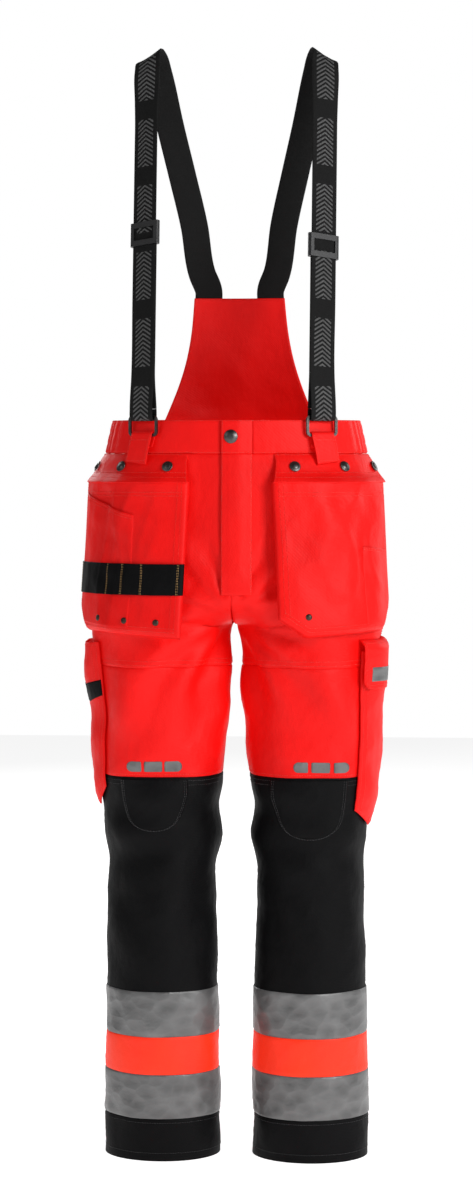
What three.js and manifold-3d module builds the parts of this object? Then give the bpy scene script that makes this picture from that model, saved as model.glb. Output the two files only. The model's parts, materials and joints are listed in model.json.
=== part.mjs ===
// Hi-vis work trousers with braces, a raised back bib and two hanging holster pockets.
// Millimetres, +Z up, the front faces -Y, the wearer's left is +X. The hems stand on z = 0.
import * as THREE from "three";
import { mergeVertices } from "three/addons/utils/BufferGeometryUtils.js";
import Module from "manifold-3d";

const wasm = await Module();
wasm.setup();

// ---------- driving sizes: heights, from the floor up ----------
const CUFF_HEIGHT = 62;
const LOWER_TAPE_HEIGHT = 64;
const ORANGE_HEIGHT = 55;
const UPPER_TAPE_HEIGHT = 66;
const KNEE_HEIGHT = 312; // black panel from the upper tape to the red seam
const THIGH_HEIGHT = 158; // red panel between the knee seam and the thigh seam
const CROTCH_RISE = 59; // from the thigh seam to the crotch
const BODY_RISE = 245; // from the crotch to the waistband
const WAISTBAND_HEIGHT = 48;
const BIB_HEIGHT = 180;
const BRACE_RISE = 346; // from the bib's top to the crest of the braces

// ---------- driving sizes: girths, as half widths and half depths ----------
const LEG_CENTRE = 108; // from the centre plane to a leg's middle
const HEM_HALF_WIDTH = 84.5;
const HEM_HALF_DEPTH = 72;
const SHIN_HALF_WIDTH = 80;
const SHIN_HALF_DEPTH = 76;
const KNEE_HALF_WIDTH = 89;
const KNEE_HALF_DEPTH = 92;
const THIGH_HALF_WIDTH = 99;
const THIGH_HALF_DEPTH = 104;
const CROTCH_HALF_WIDTH = 106;
const CROTCH_HALF_DEPTH = 110;
const SEAT_HALF_WIDTH = 205;
const SEAT_HALF_DEPTH = 132;
const BAND_HALF_WIDTH = 190; // at the waistband's lower edge
const BAND_HALF_DEPTH = 120.5;
const WAIST_HALF_WIDTH = 179.5; // at its upper edge
const WAIST_HALF_DEPTH = 118.3;
const CROTCH_CURVE = 44; // height over which two legs become one body
const SEAT_LEVEL = 104; // the fullest place, above the crotch

// ---------- driving sizes: cloth, webbing and gaps ----------
const CLOTH = 2;
const TAPE = 1.2;
const WAISTBAND_CLOTH = 3;
const HEM_FOLD = 4;
const SEAM_GAP = 0.4; // between two pieces edge to edge
const LAYER_GAP = 0.3; // between two pieces face to face
const WEBBING_WIDTH = 40;
const WEBBING = 2;

// ---------- driving sizes: fly ----------
const FLY_RISE = 46; // the fly's foot, above the crotch
const FLY_FREE_EDGE = 14; // how far the flap reaches past the centre
const FLY_HINGE_X = 30; // its stitched edge
const FLY_ROOM = 2.2; // space under the flap
const FLY_ROOT = 4; // width of the stitched edge that lies on the panel
const ZIP_CHANNEL = 5; // half the slit between the front panels
const TEETH_GAP = 1.2; // half the gap between the rows of teeth
const TEETH_LENGTH = 2;
const TEETH_PITCH = 8;
const TEETH_HEIGHT = 4;
const TAPE_EDGE = 13; // outer edge of a zip tape
const ZIP_TOP_GAP = 3; // between the zip's top and the waistband
const UNDERLAP_EDGE = 22;
const SNAP_RADIUS = 9.7;
const SNAP_HEIGHT = 4;
const STUD_RADIUS = 5.8;

// ---------- driving sizes: bib and braces ----------
const BIB_BOTTOM_HALF_WIDTH = 112;
const BIB_TOP_HALF_WIDTH = 66.5;
const BIB_TOP_Y = 84;
const BIB_TOP_BOW = 5; // how far the top's corners lie in front of its middle
const BRACE_FOOT_X = 123;
const BRACE_TOP_X = 128;
const BRACE_BIB_X = 46;
const BRACE_TURN = THREE.MathUtils.degToRad(31); // the front run faces outwards by this
const BRACE_LAP = 22; // webbing sewn behind the bib
const RING_WIDTH = WEBBING_WIDTH + 10;
const RING_HEIGHT = 30;
const RING_BAR = 4;
const RING_THICKNESS = 3;
const RING_CORNER = 7;
const RING_ABOVE_WAIST = -9; // the ring's middle, from the waistband's top
const LOOP_RADIUS = 5.2; // the webbing's middle line round the ring's upper bar
const RING_PLAY = 0.8; // room in the tab's fold for the ring to tilt
const TAB_WIDTH = WEBBING_WIDTH - 4;
const TAB_CLOTH = 1.6;
const TAB_LENGTH = 44; // the front leaf, below the fold
const TAB_BACK_LEAF = 16;
const TAB_SLANT = 8; // how far its lower end lies outwards
const TAB_BOW = 2.6; // room for the body's curve behind the flat back leaf
const TAB_END_STAND = 11; // its lower end lies over the yoke
const SLIDER_WIDTH = WEBBING_WIDTH + 8;
const SLIDER_LENGTH = 34;
const SLIDER_DEPTH = 9;
const SLIDER_SLOT = 5.4;
const SLIDER_CORNER = 3.5;
const SLIDER_WINDOW = 18;
const RIGHT_SLIDER_RISE = 265; // above the waistband's top
const LEFT_SLIDER_RISE = 246;

// ---------- driving sizes: holsters and pockets ----------
const HOLSTER_DROP = 38; // from the waistband down to the bag's mouth
const HOLSTER_HEIGHT = 222;
const HOLSTER_INNER = new THREE.Vector2(72, -126); // the mouth's two ends, on the left side
const HOLSTER_OUTER = new THREE.Vector2(209, -10);
const HOLSTER_BOW = 20; // the mouth's bow away from the body
const HOLSTER_LEAN = 18 / 222; // how far it hangs out for each millimetre below its mouth
const HOLSTER_ROOM = 5; // inside depth at the ends
const HOLSTER_BELLY = 11; // what the middle has beyond that
const HOLSTER_CHAMFER = 38;
const YOKE_GAP = 1.5; // between the yoke's lower edge and the bag's mouth
const YOKE_START_X = 60;
const YOKE_STANDOFF = 0.9;
const BUTTON_STAND = 0.7; // between a button's flat back and the cloth at its middle
const RIVET_RISE = 22; // above the bag's bottom edge
const YOKE_SNAP_RADIUS = 8;
const YOKE_SNAP_HEIGHT = 3;
const RIVET_RADIUS = 4.5;
const RIVET_HEIGHT = 2;
const STRIP_TOP = 117; // below the mouth
const STRIP_HEIGHT = 44;
const POCKET_ROOM = 9;
const POCKET_EDGE_GAP = 0.8;
const SIDE_POCKET_LEVEL = 15; // the side pockets stay this far below the crotch
const RULE_POCKET_DROP = 10; // its top, below that level or the holster bags' lower edge
const RULE_POCKET_TIP = 47; // its tip, below the knee seam
const CARGO_POCKET_DROP = 21;
const CARGO_POCKET_TIP = 75;
const CARGO_FLAP_HEIGHT = 70;
const CARGO_FLAP_RISE = 16; // the flap is sewn on this far above the pocket's mouth
const CARGO_FLAP_STAND = 2;

// ---------- levels that follow ----------
const LOWER_TAPE_TOP = CUFF_HEIGHT + LOWER_TAPE_HEIGHT;
const ORANGE_TOP = LOWER_TAPE_TOP + ORANGE_HEIGHT;
const UPPER_TAPE_TOP = ORANGE_TOP + UPPER_TAPE_HEIGHT;
const KNEE_TOP = UPPER_TAPE_TOP + KNEE_HEIGHT;
const THIGH_TOP = KNEE_TOP + THIGH_HEIGHT;
const CROTCH = THIGH_TOP + CROTCH_RISE;
const BAND_BOTTOM = CROTCH + BODY_RISE;
const WAIST_TOP = BAND_BOTTOM + WAISTBAND_HEIGHT;
const BIB_TOP = WAIST_TOP + BIB_HEIGHT;
const CREST = BIB_TOP + BRACE_RISE;
const FLY_FOOT = CROTCH + FLY_RISE;
const MOUTH = BAND_BOTTOM - HOLSTER_DROP;
const HOLSTER_FOOT = MOUTH - HOLSTER_HEIGHT;
const SIDE_POCKET_TOP = Math.min(HOLSTER_FOOT, CROTCH - SIDE_POCKET_LEVEL);
const RULE_POCKET = {
  top: SIDE_POCKET_TOP - RULE_POCKET_DROP,
  bottom: KNEE_TOP - RULE_POCKET_TIP,
  from: 146, // degrees round the leg, from the inseam over the front
  to: 212,
};
const CARGO_POCKET = {
  top: SIDE_POCKET_TOP - CARGO_POCKET_DROP,
  bottom: KNEE_TOP - CARGO_POCKET_TIP,
  from: 138,
  to: 218,
};
const RIGHT = -1;
const LEFT = 1;
const FRONT = -1;
const BACK = 1;

// ---------- materials ----------
const finish = (color, roughness, metalness = 0) => new THREE.MeshStandardMaterial({ color, roughness, metalness });
const RED_CLOTH = finish(0xff2a14, 0.8);
const ORANGE_CLOTH = finish(0xff3a0a, 0.75);
const BLACK_CLOTH = finish(0x141416, 0.9);
const REFLECTIVE = finish(0x777a7d, 0.45);
const WEB_BLACK = finish(0x18181a, 0.8);
const PLASTIC_BLACK = finish(0x101012, 0.4);
const GUNMETAL = finish(0x4a4a4c, 0.35, 1);

const assembly = new THREE.Group();

// Adds one named piece to the assembly.
function piece(name, material, geometry) {
  const mesh = new THREE.Mesh(geometry, material);
  mesh.name = name;
  assembly.add(mesh);
  return mesh;
}

// ---------- solids and booleans ----------
function signedVolume(points, index) {
  let six = 0;
  for (let i = 0; i < index.length; i += 3) {
    const [a, b, c] = [points[index[i]], points[index[i + 1]], points[index[i + 2]]];
    six += a.dot(new THREE.Vector3().crossVectors(b, c));
  }
  return six / 6;
}

function closedGeometry(points, index) {
  if (signedVolume(points, index) < 0) index.reverse();
  const geometry = new THREE.BufferGeometry().setFromPoints(points);
  geometry.setIndex(index);
  geometry.computeVertexNormals();
  return geometry;
}

function toManifold(geometry) {
  const bare = geometry.clone();
  bare.deleteAttribute("normal");
  bare.deleteAttribute("uv");
  const merged = mergeVertices(bare, 1e-4);
  return new wasm.Manifold(
    new wasm.Mesh({
      numProp: 3,
      vertProperties: new Float32Array(merged.attributes.position.array),
      triVerts: new Uint32Array(merged.index.array),
    }),
  );
}

function fromManifold(solid) {
  const mesh = solid.getMesh();
  const geometry = new THREE.BufferGeometry();
  geometry.setAttribute("position", new THREE.BufferAttribute(mesh.vertProperties, 3));
  geometry.setIndex(new THREE.BufferAttribute(mesh.triVerts, 1));
  geometry.computeVertexNormals();
  return geometry;
}

const cut = (from, ...tools) =>
  fromManifold(tools.reduce((solid, tool) => solid.subtract(toManifold(tool)), toManifold(from)));
const join = (first, ...others) =>
  fromManifold(others.reduce((solid, other) => solid.add(toManifold(other)), toManifold(first)));

// A sheet with two faces: face(u, v, side) gives a point, side 0 outside and 1 inside.
// With wrap, u runs round and meets itself.
function sheet(columns, rows, face, wrap = false) {
  const across = wrap ? columns : columns + 1;
  const points = [];
  for (const side of [0, 1])
    for (let j = 0; j <= rows; j++)
      for (let i = 0; i < across; i++) points.push(face(i / columns, j / rows, side));
  const at = (i, j, side) => side * across * (rows + 1) + j * across + (i % across);
  const index = [];
  const quad = (a, b, c, d) => index.push(a, b, c, a, c, d);
  for (let i = 0; i < columns; i++) {
    for (let j = 0; j < rows; j++) {
      quad(at(i, j, 0), at(i + 1, j, 0), at(i + 1, j + 1, 0), at(i, j + 1, 0));
      quad(at(i, j, 1), at(i, j + 1, 1), at(i + 1, j + 1, 1), at(i + 1, j, 1));
    }
    quad(at(i, 0, 0), at(i, 0, 1), at(i + 1, 0, 1), at(i + 1, 0, 0));
    quad(at(i, rows, 0), at(i + 1, rows, 0), at(i + 1, rows, 1), at(i, rows, 1));
  }
  if (!wrap)
    for (let j = 0; j < rows; j++) {
      quad(at(0, j, 0), at(0, j + 1, 0), at(0, j + 1, 1), at(0, j, 1));
      quad(at(columns, j, 0), at(columns, j, 1), at(columns, j + 1, 1), at(columns, j + 1, 0));
    }
  return closedGeometry(points, index);
}

// Webbing or a folded tab: stations hold a centre and the direction of its width.
function ribbon(stations, width, thickness) {
  const last = stations.length - 1;
  const frames = stations.map(({ centre, across }, k) => {
    const ahead = stations[Math.min(k + 1, last)].centre;
    const behind = stations[Math.max(k - 1, 0)].centre;
    const along = ahead.clone().sub(behind).normalize();
    const square = across.clone().addScaledVector(along, -across.dot(along)).normalize();
    return { centre, square, normal: new THREE.Vector3().crossVectors(along, square) };
  });
  return sheet(1, last, (u, v, side) => {
    const { centre, square, normal } = frames[Math.round(v * last)];
    return centre
      .clone()
      .addScaledVector(square, (u - 0.5) * width)
      .addScaledVector(normal, (side - 0.5) * thickness);
  });
}

// ---------- the body's shape ----------
const SHIN_LEVEL = (UPPER_TAPE_TOP + KNEE_TOP) / 2;
const LEG_STATIONS = [
  { z: 0, width: HEM_HALF_WIDTH, depth: HEM_HALF_DEPTH },
  { z: SHIN_LEVEL, width: SHIN_HALF_WIDTH, depth: SHIN_HALF_DEPTH },
  { z: KNEE_TOP, width: KNEE_HALF_WIDTH, depth: KNEE_HALF_DEPTH },
  { z: THIGH_TOP, width: THIGH_HALF_WIDTH, depth: THIGH_HALF_DEPTH },
  { z: CROTCH, width: CROTCH_HALF_WIDTH, depth: CROTCH_HALF_DEPTH },
  { z: CROTCH + CROTCH_CURVE, width: CROTCH_HALF_WIDTH, depth: CROTCH_HALF_DEPTH },
];
// The centre front is straight from the crotch curve to the waistband, so the fly can turn about its edge.
const SEAT_LEVEL_DEPTH = THREE.MathUtils.lerp(SEAT_HALF_DEPTH, BAND_HALF_DEPTH, SEAT_LEVEL / BODY_RISE);
const HIP_STATIONS = [
  { z: CROTCH, width: SEAT_HALF_WIDTH, depth: SEAT_HALF_DEPTH },
  { z: CROTCH + SEAT_LEVEL, width: SEAT_HALF_WIDTH, depth: SEAT_LEVEL_DEPTH },
  { z: BAND_BOTTOM, width: BAND_HALF_WIDTH, depth: BAND_HALF_DEPTH },
  { z: WAIST_TOP, width: WAIST_HALF_WIDTH, depth: WAIST_HALF_DEPTH },
];

// Half width and half depth at a height, straight between the stations.
function girth(stations, z) {
  const last = stations.length - 1;
  const upper = THREE.MathUtils.clamp(stations.findIndex((s) => s.z > z), 1, last);
  const above = stations[z >= stations[last].z ? last : upper];
  const below = stations[stations.indexOf(above) - 1];
  const share = THREE.MathUtils.clamp((z - below.z) / (above.z - below.z), 0, 1);
  return {
    width: THREE.MathUtils.lerp(below.width, above.width, share),
    depth: THREE.MathUtils.lerp(below.depth, above.depth, share),
  };
}

// A leg's section: angle 0 is the inseam, a quarter turn is the front, half a turn the outseam.
function legPoint(side, angle, z, inset) {
  const { width, depth } = girth(LEG_STATIONS, z);
  const x = LEG_CENTRE - (width - inset) * Math.cos(angle);
  return new THREE.Vector3(side * x, -(depth - inset) * Math.sin(angle), z);
}

// The body's section: angle 0 is the centre front, a quarter turn the left side.
function hipPoint(angle, z, inset) {
  const { width, depth } = girth(HIP_STATIONS, z);
  return new THREE.Vector3((width - inset) * Math.sin(angle), -(depth - inset) * Math.cos(angle), z);
}

// The flat facet on each side of the centre front, where the fly pieces lie.
const PANEL_COLUMNS = 10;
function flyPoint(x, z, inset) {
  const { width, depth } = girth(HIP_STATIONS, z);
  const facet = Math.PI / 2 / PANEL_COLUMNS;
  const share = Math.abs(x) / (width * Math.sin(facet));
  return new THREE.Vector3(x, -(depth - inset) * THREE.MathUtils.lerp(1, Math.cos(facet), share), z);
}

const hipAngle = (x, z) => Math.asin(x / girth(HIP_STATIONS, z).width);

// One quarter of the trousers: u runs from the inseam or the centre to the outseam.
function bodyPoint(side, face, u, z, inset) {
  const share = THREE.MathUtils.clamp((z - CROTCH) / CROTCH_CURVE, 0, 1);
  const hipShare = Math.sqrt(share * (2 - share));
  const leg = legPoint(side, u * Math.PI, z, inset);
  leg.y *= -face;
  const hip = hipPoint(u * (Math.PI / 2), z, inset);
  hip.x *= side;
  hip.y *= -face;
  const point = leg.lerp(hip, hipShare);
  point.x += side * (SEAM_GAP / 2);
  point.y += face * (SEAM_GAP / 2);
  return point;
}

const between = (low, high, v) => THREE.MathUtils.lerp(low + SEAM_GAP / 2, high - SEAM_GAP / 2, v);

// A panel has a row of points at each level given, and half a seam gap at its lower and upper edges.
function bodyPanel(side, face, levels) {
  const rows = levels.length - 1;
  const heights = [...levels];
  heights[0] += SEAM_GAP / 2;
  heights[rows] -= SEAM_GAP / 2;
  return sheet(PANEL_COLUMNS, rows, (u, v, inside) =>
    bodyPoint(side, face, u, heights[Math.round(v * rows)], inside * CLOTH),
  );
}

function legBand(side, low, high, inset, cloth) {
  return sheet(
    20,
    1,
    (u, v, inside) => legPoint(side, u * 2 * Math.PI, between(low, high, v), inset + inside * cloth),
    true,
  );
}

// ---------- trousers ----------
const CROTCH_LEVELS = [0, 0.08, 0.25, 0.5, 1].map((share) => CROTCH + share * CROTCH_CURVE);
const UPPER_LEVELS = [...CROTCH_LEVELS, CROTCH + SEAT_LEVEL, BAND_BOTTOM];
const LOWER_LEVELS = [CUFF_HEIGHT, SHIN_LEVEL, KNEE_TOP];

function trousers(side, name) {
  const slit = new THREE.BoxGeometry(2 * ZIP_CHANNEL, SEAT_HALF_DEPTH, BAND_BOTTOM - FLY_FOOT);
  slit.translate(0, -SEAT_HALF_DEPTH, (BAND_BOTTOM + FLY_FOOT) / 2);
  piece(`${name}_hip_front`, RED_CLOTH, cut(bodyPanel(side, FRONT, [THIGH_TOP, ...UPPER_LEVELS]), slit));
  piece(`${name}_thigh_front`, RED_CLOTH, bodyPanel(side, FRONT, [KNEE_TOP, THIGH_TOP]));
  piece(`${name}_back_panel`, RED_CLOTH, bodyPanel(side, BACK, [KNEE_TOP, THIGH_TOP, ...UPPER_LEVELS]));
  piece(`${name}_knee_front`, BLACK_CLOTH, bodyPanel(side, FRONT, LOWER_LEVELS));
  piece(`${name}_calf_back`, BLACK_CLOTH, bodyPanel(side, BACK, LOWER_LEVELS));
  const over = -2 * LAYER_GAP - TAPE;
  piece(`${name}_upper_tape`, REFLECTIVE, legBand(side, ORANGE_TOP, UPPER_TAPE_TOP, over, TAPE));
  piece(`${name}_orange_band`, ORANGE_CLOTH, legBand(side, LOWER_TAPE_TOP, ORANGE_TOP, over, TAPE));
  piece(`${name}_lower_tape`, REFLECTIVE, legBand(side, CUFF_HEIGHT, LOWER_TAPE_TOP, over, TAPE));
  piece(`${name}_cuff`, BLACK_CLOTH, legBand(side, -SEAM_GAP / 2, CUFF_HEIGHT, 0, HEM_FOLD));
}
trousers(RIGHT, "right");
trousers(LEFT, "left");

// ---------- waistband ----------
function waistband(from, to, columns) {
  return sheet(columns, 1, (u, v, inside) => {
    const z = between(BAND_BOTTOM, WAIST_TOP, v);
    const angle = THREE.MathUtils.lerp(from(z), to(z), u);
    return hipPoint(angle, z, inside * WAISTBAND_CLOTH);
  });
}
const sideAngle = (face) => (z) => Math.PI / 2 + (face * SEAM_GAP) / 2 / girth(HIP_STATIONS, z).depth;
const rightSideAngle = (face) => (z) => -sideAngle(face)(z);
const flyEdge = (x) => (z) => hipAngle(x, z);
piece("right_waistband", RED_CLOTH, waistband(rightSideAngle(FRONT), flyEdge(FLY_FREE_EDGE), 10));
piece("left_waistband", RED_CLOTH, waistband(flyEdge(FLY_HINGE_X + SEAM_GAP), sideAngle(FRONT), 8));
piece("back_waistband", RED_CLOTH, waistband(sideAngle(BACK), (z) => 2 * Math.PI - sideAngle(BACK)(z), 20));

// ---------- fly ----------
// A flap over the centre front: its stitched edge lies on the panel, the rest stands clear of the zip.
function flyLayer(low, high, rows) {
  const columns = [-FLY_FREE_EDGE, 0, FLY_HINGE_X - 2 * FLY_ROOT, FLY_HINGE_X - FLY_ROOT, FLY_HINGE_X];
  const last = columns.length - 1;
  return sheet(last, rows, (u, v, inside) => {
    const z = between(low, high, v);
    const column = Math.round(u * last);
    const stitched = columns[column] >= FLY_HINGE_X - FLY_ROOT;
    const room = inside && stitched ? LAYER_GAP : FLY_ROOM;
    return flyPoint(columns[column], z, -room - (inside ? 0 : CLOTH));
  });
}
piece("fly_flap", RED_CLOTH, flyLayer(FLY_FOOT, BAND_BOTTOM, 1));
piece("waist_overlap", RED_CLOTH, flyLayer(BAND_BOTTOM, WAIST_TOP, 1));

const ZIP_TOP = BAND_BOTTOM - ZIP_TOP_GAP;
const ZIP_FOOT = FLY_FOOT + 4;

// Places a geometry made at the origin, with +Y pointing into the body, on the centre front at a height.
function onFly(geometry, x, z, inset) {
  const slope = (BAND_HALF_DEPTH - SEAT_LEVEL_DEPTH) / (BODY_RISE - SEAT_LEVEL);
  const spot = flyPoint(x, z, inset);
  geometry.rotateX(Math.atan(slope));
  return geometry.translate(spot.x, spot.y, spot.z);
}

function zipTape(side) {
  const inset = CLOTH + LAYER_GAP;
  const edges = [TEETH_GAP + TEETH_LENGTH / 2, TAPE_EDGE];
  const tape = sheet(1, 1, (u, v, inside) => {
    const z = THREE.MathUtils.lerp(ZIP_FOOT, ZIP_TOP, v);
    const x = side * edges[Math.round(u)];
    return flyPoint(x, z, inset + inside * TAPE);
  });
  const teeth = [];
  const middle = inset + TAPE / 2;
  const step = TEETH_PITCH;
  for (let z = ZIP_FOOT + step / 2 + (side * step) / 4; z < ZIP_TOP - TEETH_HEIGHT; z += step) {
    const tooth = new THREE.BoxGeometry(TEETH_LENGTH, TAPE + 0.8, TEETH_HEIGHT);
    teeth.push(onFly(tooth, side * (TEETH_GAP + TEETH_LENGTH / 2), z, middle));
  }
  return join(tape, ...teeth);
}
piece("right_zip_tape", BLACK_CLOTH, zipTape(RIGHT));
piece("left_zip_tape", BLACK_CLOTH, zipTape(LEFT));

// The slider: a front and a back plate joined by a web that runs between the rows of teeth.
const ZIP_SLIDER_LENGTH = 9;
const ZIP_SLIDER_HALF = ZIP_CHANNEL - 0.7;
const ZIP_PLATE = 0.8;
const ZIP_ROOM = (TAPE + 0.8) / 2 + LAYER_GAP;
const ZIP_WEB_HALF = TEETH_GAP - LAYER_GAP;
function zipSlider() {
  const outline = new THREE.Shape();
  const deep = ZIP_ROOM + ZIP_PLATE;
  const corners = [
    [-ZIP_SLIDER_HALF, -deep],
    [ZIP_SLIDER_HALF, -deep],
    [ZIP_SLIDER_HALF, -ZIP_ROOM],
    [ZIP_WEB_HALF, -ZIP_ROOM],
    [ZIP_WEB_HALF, ZIP_ROOM],
    [ZIP_SLIDER_HALF, ZIP_ROOM],
    [ZIP_SLIDER_HALF, deep],
    [-ZIP_SLIDER_HALF, deep],
    [-ZIP_SLIDER_HALF, ZIP_ROOM],
    [-ZIP_WEB_HALF, ZIP_ROOM],
    [-ZIP_WEB_HALF, -ZIP_ROOM],
    [-ZIP_SLIDER_HALF, -ZIP_ROOM],
  ];
  outline.setFromPoints(corners.map(([x, y]) => new THREE.Vector2(x, y)));
  const body = new THREE.ExtrudeGeometry(outline, { depth: ZIP_SLIDER_LENGTH, bevelEnabled: false });
  body.translate(0, 0, -ZIP_SLIDER_LENGTH);
  return onFly(body, 0, ZIP_TOP, CLOTH + LAYER_GAP + TAPE / 2);
}
piece("zip_slider", GUNMETAL, zipSlider());

const PULLER_LENGTH = 20;
const PULLER_HALF = 2.6;
const PULLER = 1;
const PULLER_INSET = CLOTH + LAYER_GAP + TAPE / 2 - ZIP_ROOM - ZIP_PLATE - LAYER_GAP - PULLER / 2;
function zipPuller() {
  const outline = new THREE.Shape();
  outline.absarc(0, 0, PULLER_HALF, 0, Math.PI, false);
  outline.absarc(0, -PULLER_LENGTH + 2 * PULLER_HALF, PULLER_HALF, Math.PI, 2 * Math.PI, false);
  outline.closePath();
  const hole = new THREE.Path();
  hole.absarc(0, -PULLER_LENGTH + 2 * PULLER_HALF, PULLER_HALF / 2, 0, 2 * Math.PI, true);
  outline.holes.push(hole);
  const plate = new THREE.ExtrudeGeometry(outline, { depth: PULLER, bevelEnabled: false, curveSegments: 6 });
  plate.rotateX(Math.PI / 2);
  plate.translate(0, PULLER / 2, 0);
  return onFly(plate, 0, ZIP_TOP - PULLER_HALF - 1, PULLER_INSET);
}
piece("zip_puller", GUNMETAL, zipPuller());

// The underlap hangs behind the zip, sewn to the right front.
function underlap() {
  const inset = CLOTH + LAYER_GAP + TAPE + 2 * ZIP_PLATE + 1;
  return sheet(3, 1, (u, v, inside) => {
    const z = THREE.MathUtils.lerp(ZIP_FOOT, ZIP_TOP, v);
    const x = THREE.MathUtils.lerp(-UNDERLAP_EDGE, TAPE_EDGE + 2, u);
    const sewn = u === 0 ? inset - CLOTH - LAYER_GAP : 0;
    return flyPoint(x, z, inside ? inset + CLOTH : inset - sewn);
  });
}
piece("fly_underlap", BLACK_CLOTH, underlap());

// A dome, stud or rivet: its axis leaves the body along a normal.
function button(radius, height, spot, normal, segments = 16) {
  const profile = [
    new THREE.Vector2(0, 0),
    new THREE.Vector2(radius, 0),
    new THREE.Vector2(radius, height * 0.4),
    new THREE.Vector2(radius * 0.75, height * 0.85),
    new THREE.Vector2(0, height),
  ];
  const dome = new THREE.LatheGeometry(profile, segments);
  dome.applyQuaternion(new THREE.Quaternion().setFromUnitVectors(new THREE.Vector3(0, 1, 0), normal));
  return dome.translate(spot.x, spot.y, spot.z);
}
const SNAP_Z = (BAND_BOTTOM + WAIST_TOP) / 2;
const WAIST_LEAN = (BAND_HALF_DEPTH - WAIST_HALF_DEPTH) / WAISTBAND_HEIGHT;
const OUTWARDS = new THREE.Vector3(0, -1, WAIST_LEAN).normalize();
const snapSpot = flyPoint(0, SNAP_Z, -FLY_ROOM - CLOTH - LAYER_GAP);
piece("waist_snap_cap", GUNMETAL, button(SNAP_RADIUS, SNAP_HEIGHT, snapSpot, OUTWARDS));
const studSpot = flyPoint(0, SNAP_Z, -LAYER_GAP);
piece("waist_snap_stud", GUNMETAL, button(STUD_RADIUS, FLY_ROOM - 2 * LAYER_GAP - 0.2, studSpot, OUTWARDS));

// ---------- bib ----------
// The bib rises from the back of the waistband, flattens and narrows upwards, with hollow sides.
function bibPoint(u, v, offset) {
  const z = THREE.MathUtils.lerp(WAIST_TOP + SEAM_GAP, BIB_TOP, v);
  const hollow = 10 * Math.sin(Math.PI * v);
  const half = THREE.MathUtils.lerp(BIB_BOTTOM_HALF_WIDTH, BIB_TOP_HALF_WIDTH, v) - hollow;
  const x = (2 * u - 1) * half;
  const bottomY = WAIST_HALF_DEPTH * Math.sqrt(1 - (x / WAIST_HALF_WIDTH) ** 2);
  const topY = BIB_TOP_Y - BIB_TOP_BOW * (2 * u - 1) ** 2;
  return new THREE.Vector3(x, THREE.MathUtils.lerp(bottomY, topY, v) + offset, z);
}
const bib = sheet(10, 6, (u, v, inside) => bibPoint(u, v, -inside * CLOTH));
piece("back_bib", RED_CLOTH, bib);

// ---------- braces: frames ----------
// The ring's own frame: across its width, out of the body, and up.
function ringFrame(side) {
  const middle = WAIST_TOP + RING_ABOVE_WAIST;
  const angle = hipAngle(BRACE_FOOT_X, WAIST_TOP);
  const stand = TAB_BOW + TAB_CLOTH + 2 * LAYER_GAP + RING_THICKNESS / 2 + RING_PLAY;
  const centre = hipPoint(angle, WAIST_TOP, 0);
  centre.z = middle;
  const across = new THREE.Vector3(Math.cos(BRACE_TURN), Math.sin(BRACE_TURN), 0);
  const out = new THREE.Vector3(Math.sin(BRACE_TURN), -Math.cos(BRACE_TURN), 0);
  for (const vector of [centre, across, out]) vector.x *= side;
  across.multiplyScalar(side);
  centre.addScaledVector(out, stand);
  return { centre, across, out };
}
const inRing = ({ centre, out }, outwards, up) =>
  centre.clone().addScaledVector(out, outwards).add(new THREE.Vector3(0, 0, up));

// The straight front run of the webbing, from above the ring to below the crest.
const RUN_FOOT_RISE = 70; // above the ring's middle
const RUN_TOP_DROP = 20; // below the crest
const RUN_TOP_Y = -1;
function braceRun(side) {
  const frame = ringFrame(side);
  const foot = inRing(frame, 0, RUN_FOOT_RISE);
  const top = new THREE.Vector3(side * BRACE_TOP_X, RUN_TOP_Y, CREST - RUN_TOP_DROP);
  const along = top.clone().sub(foot).normalize();
  const across = frame.across.clone().addScaledVector(along, -frame.across.dot(along)).normalize();
  const out = new THREE.Vector3().crossVectors(across, along).normalize();
  if (out.dot(frame.out) < 0) out.negate();
  return { frame, foot, top, along, across, out };
}
const LAYER_OFFSET = WEBBING / 2 + LAYER_GAP / 2; // each layer's middle, from the run's middle

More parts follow.
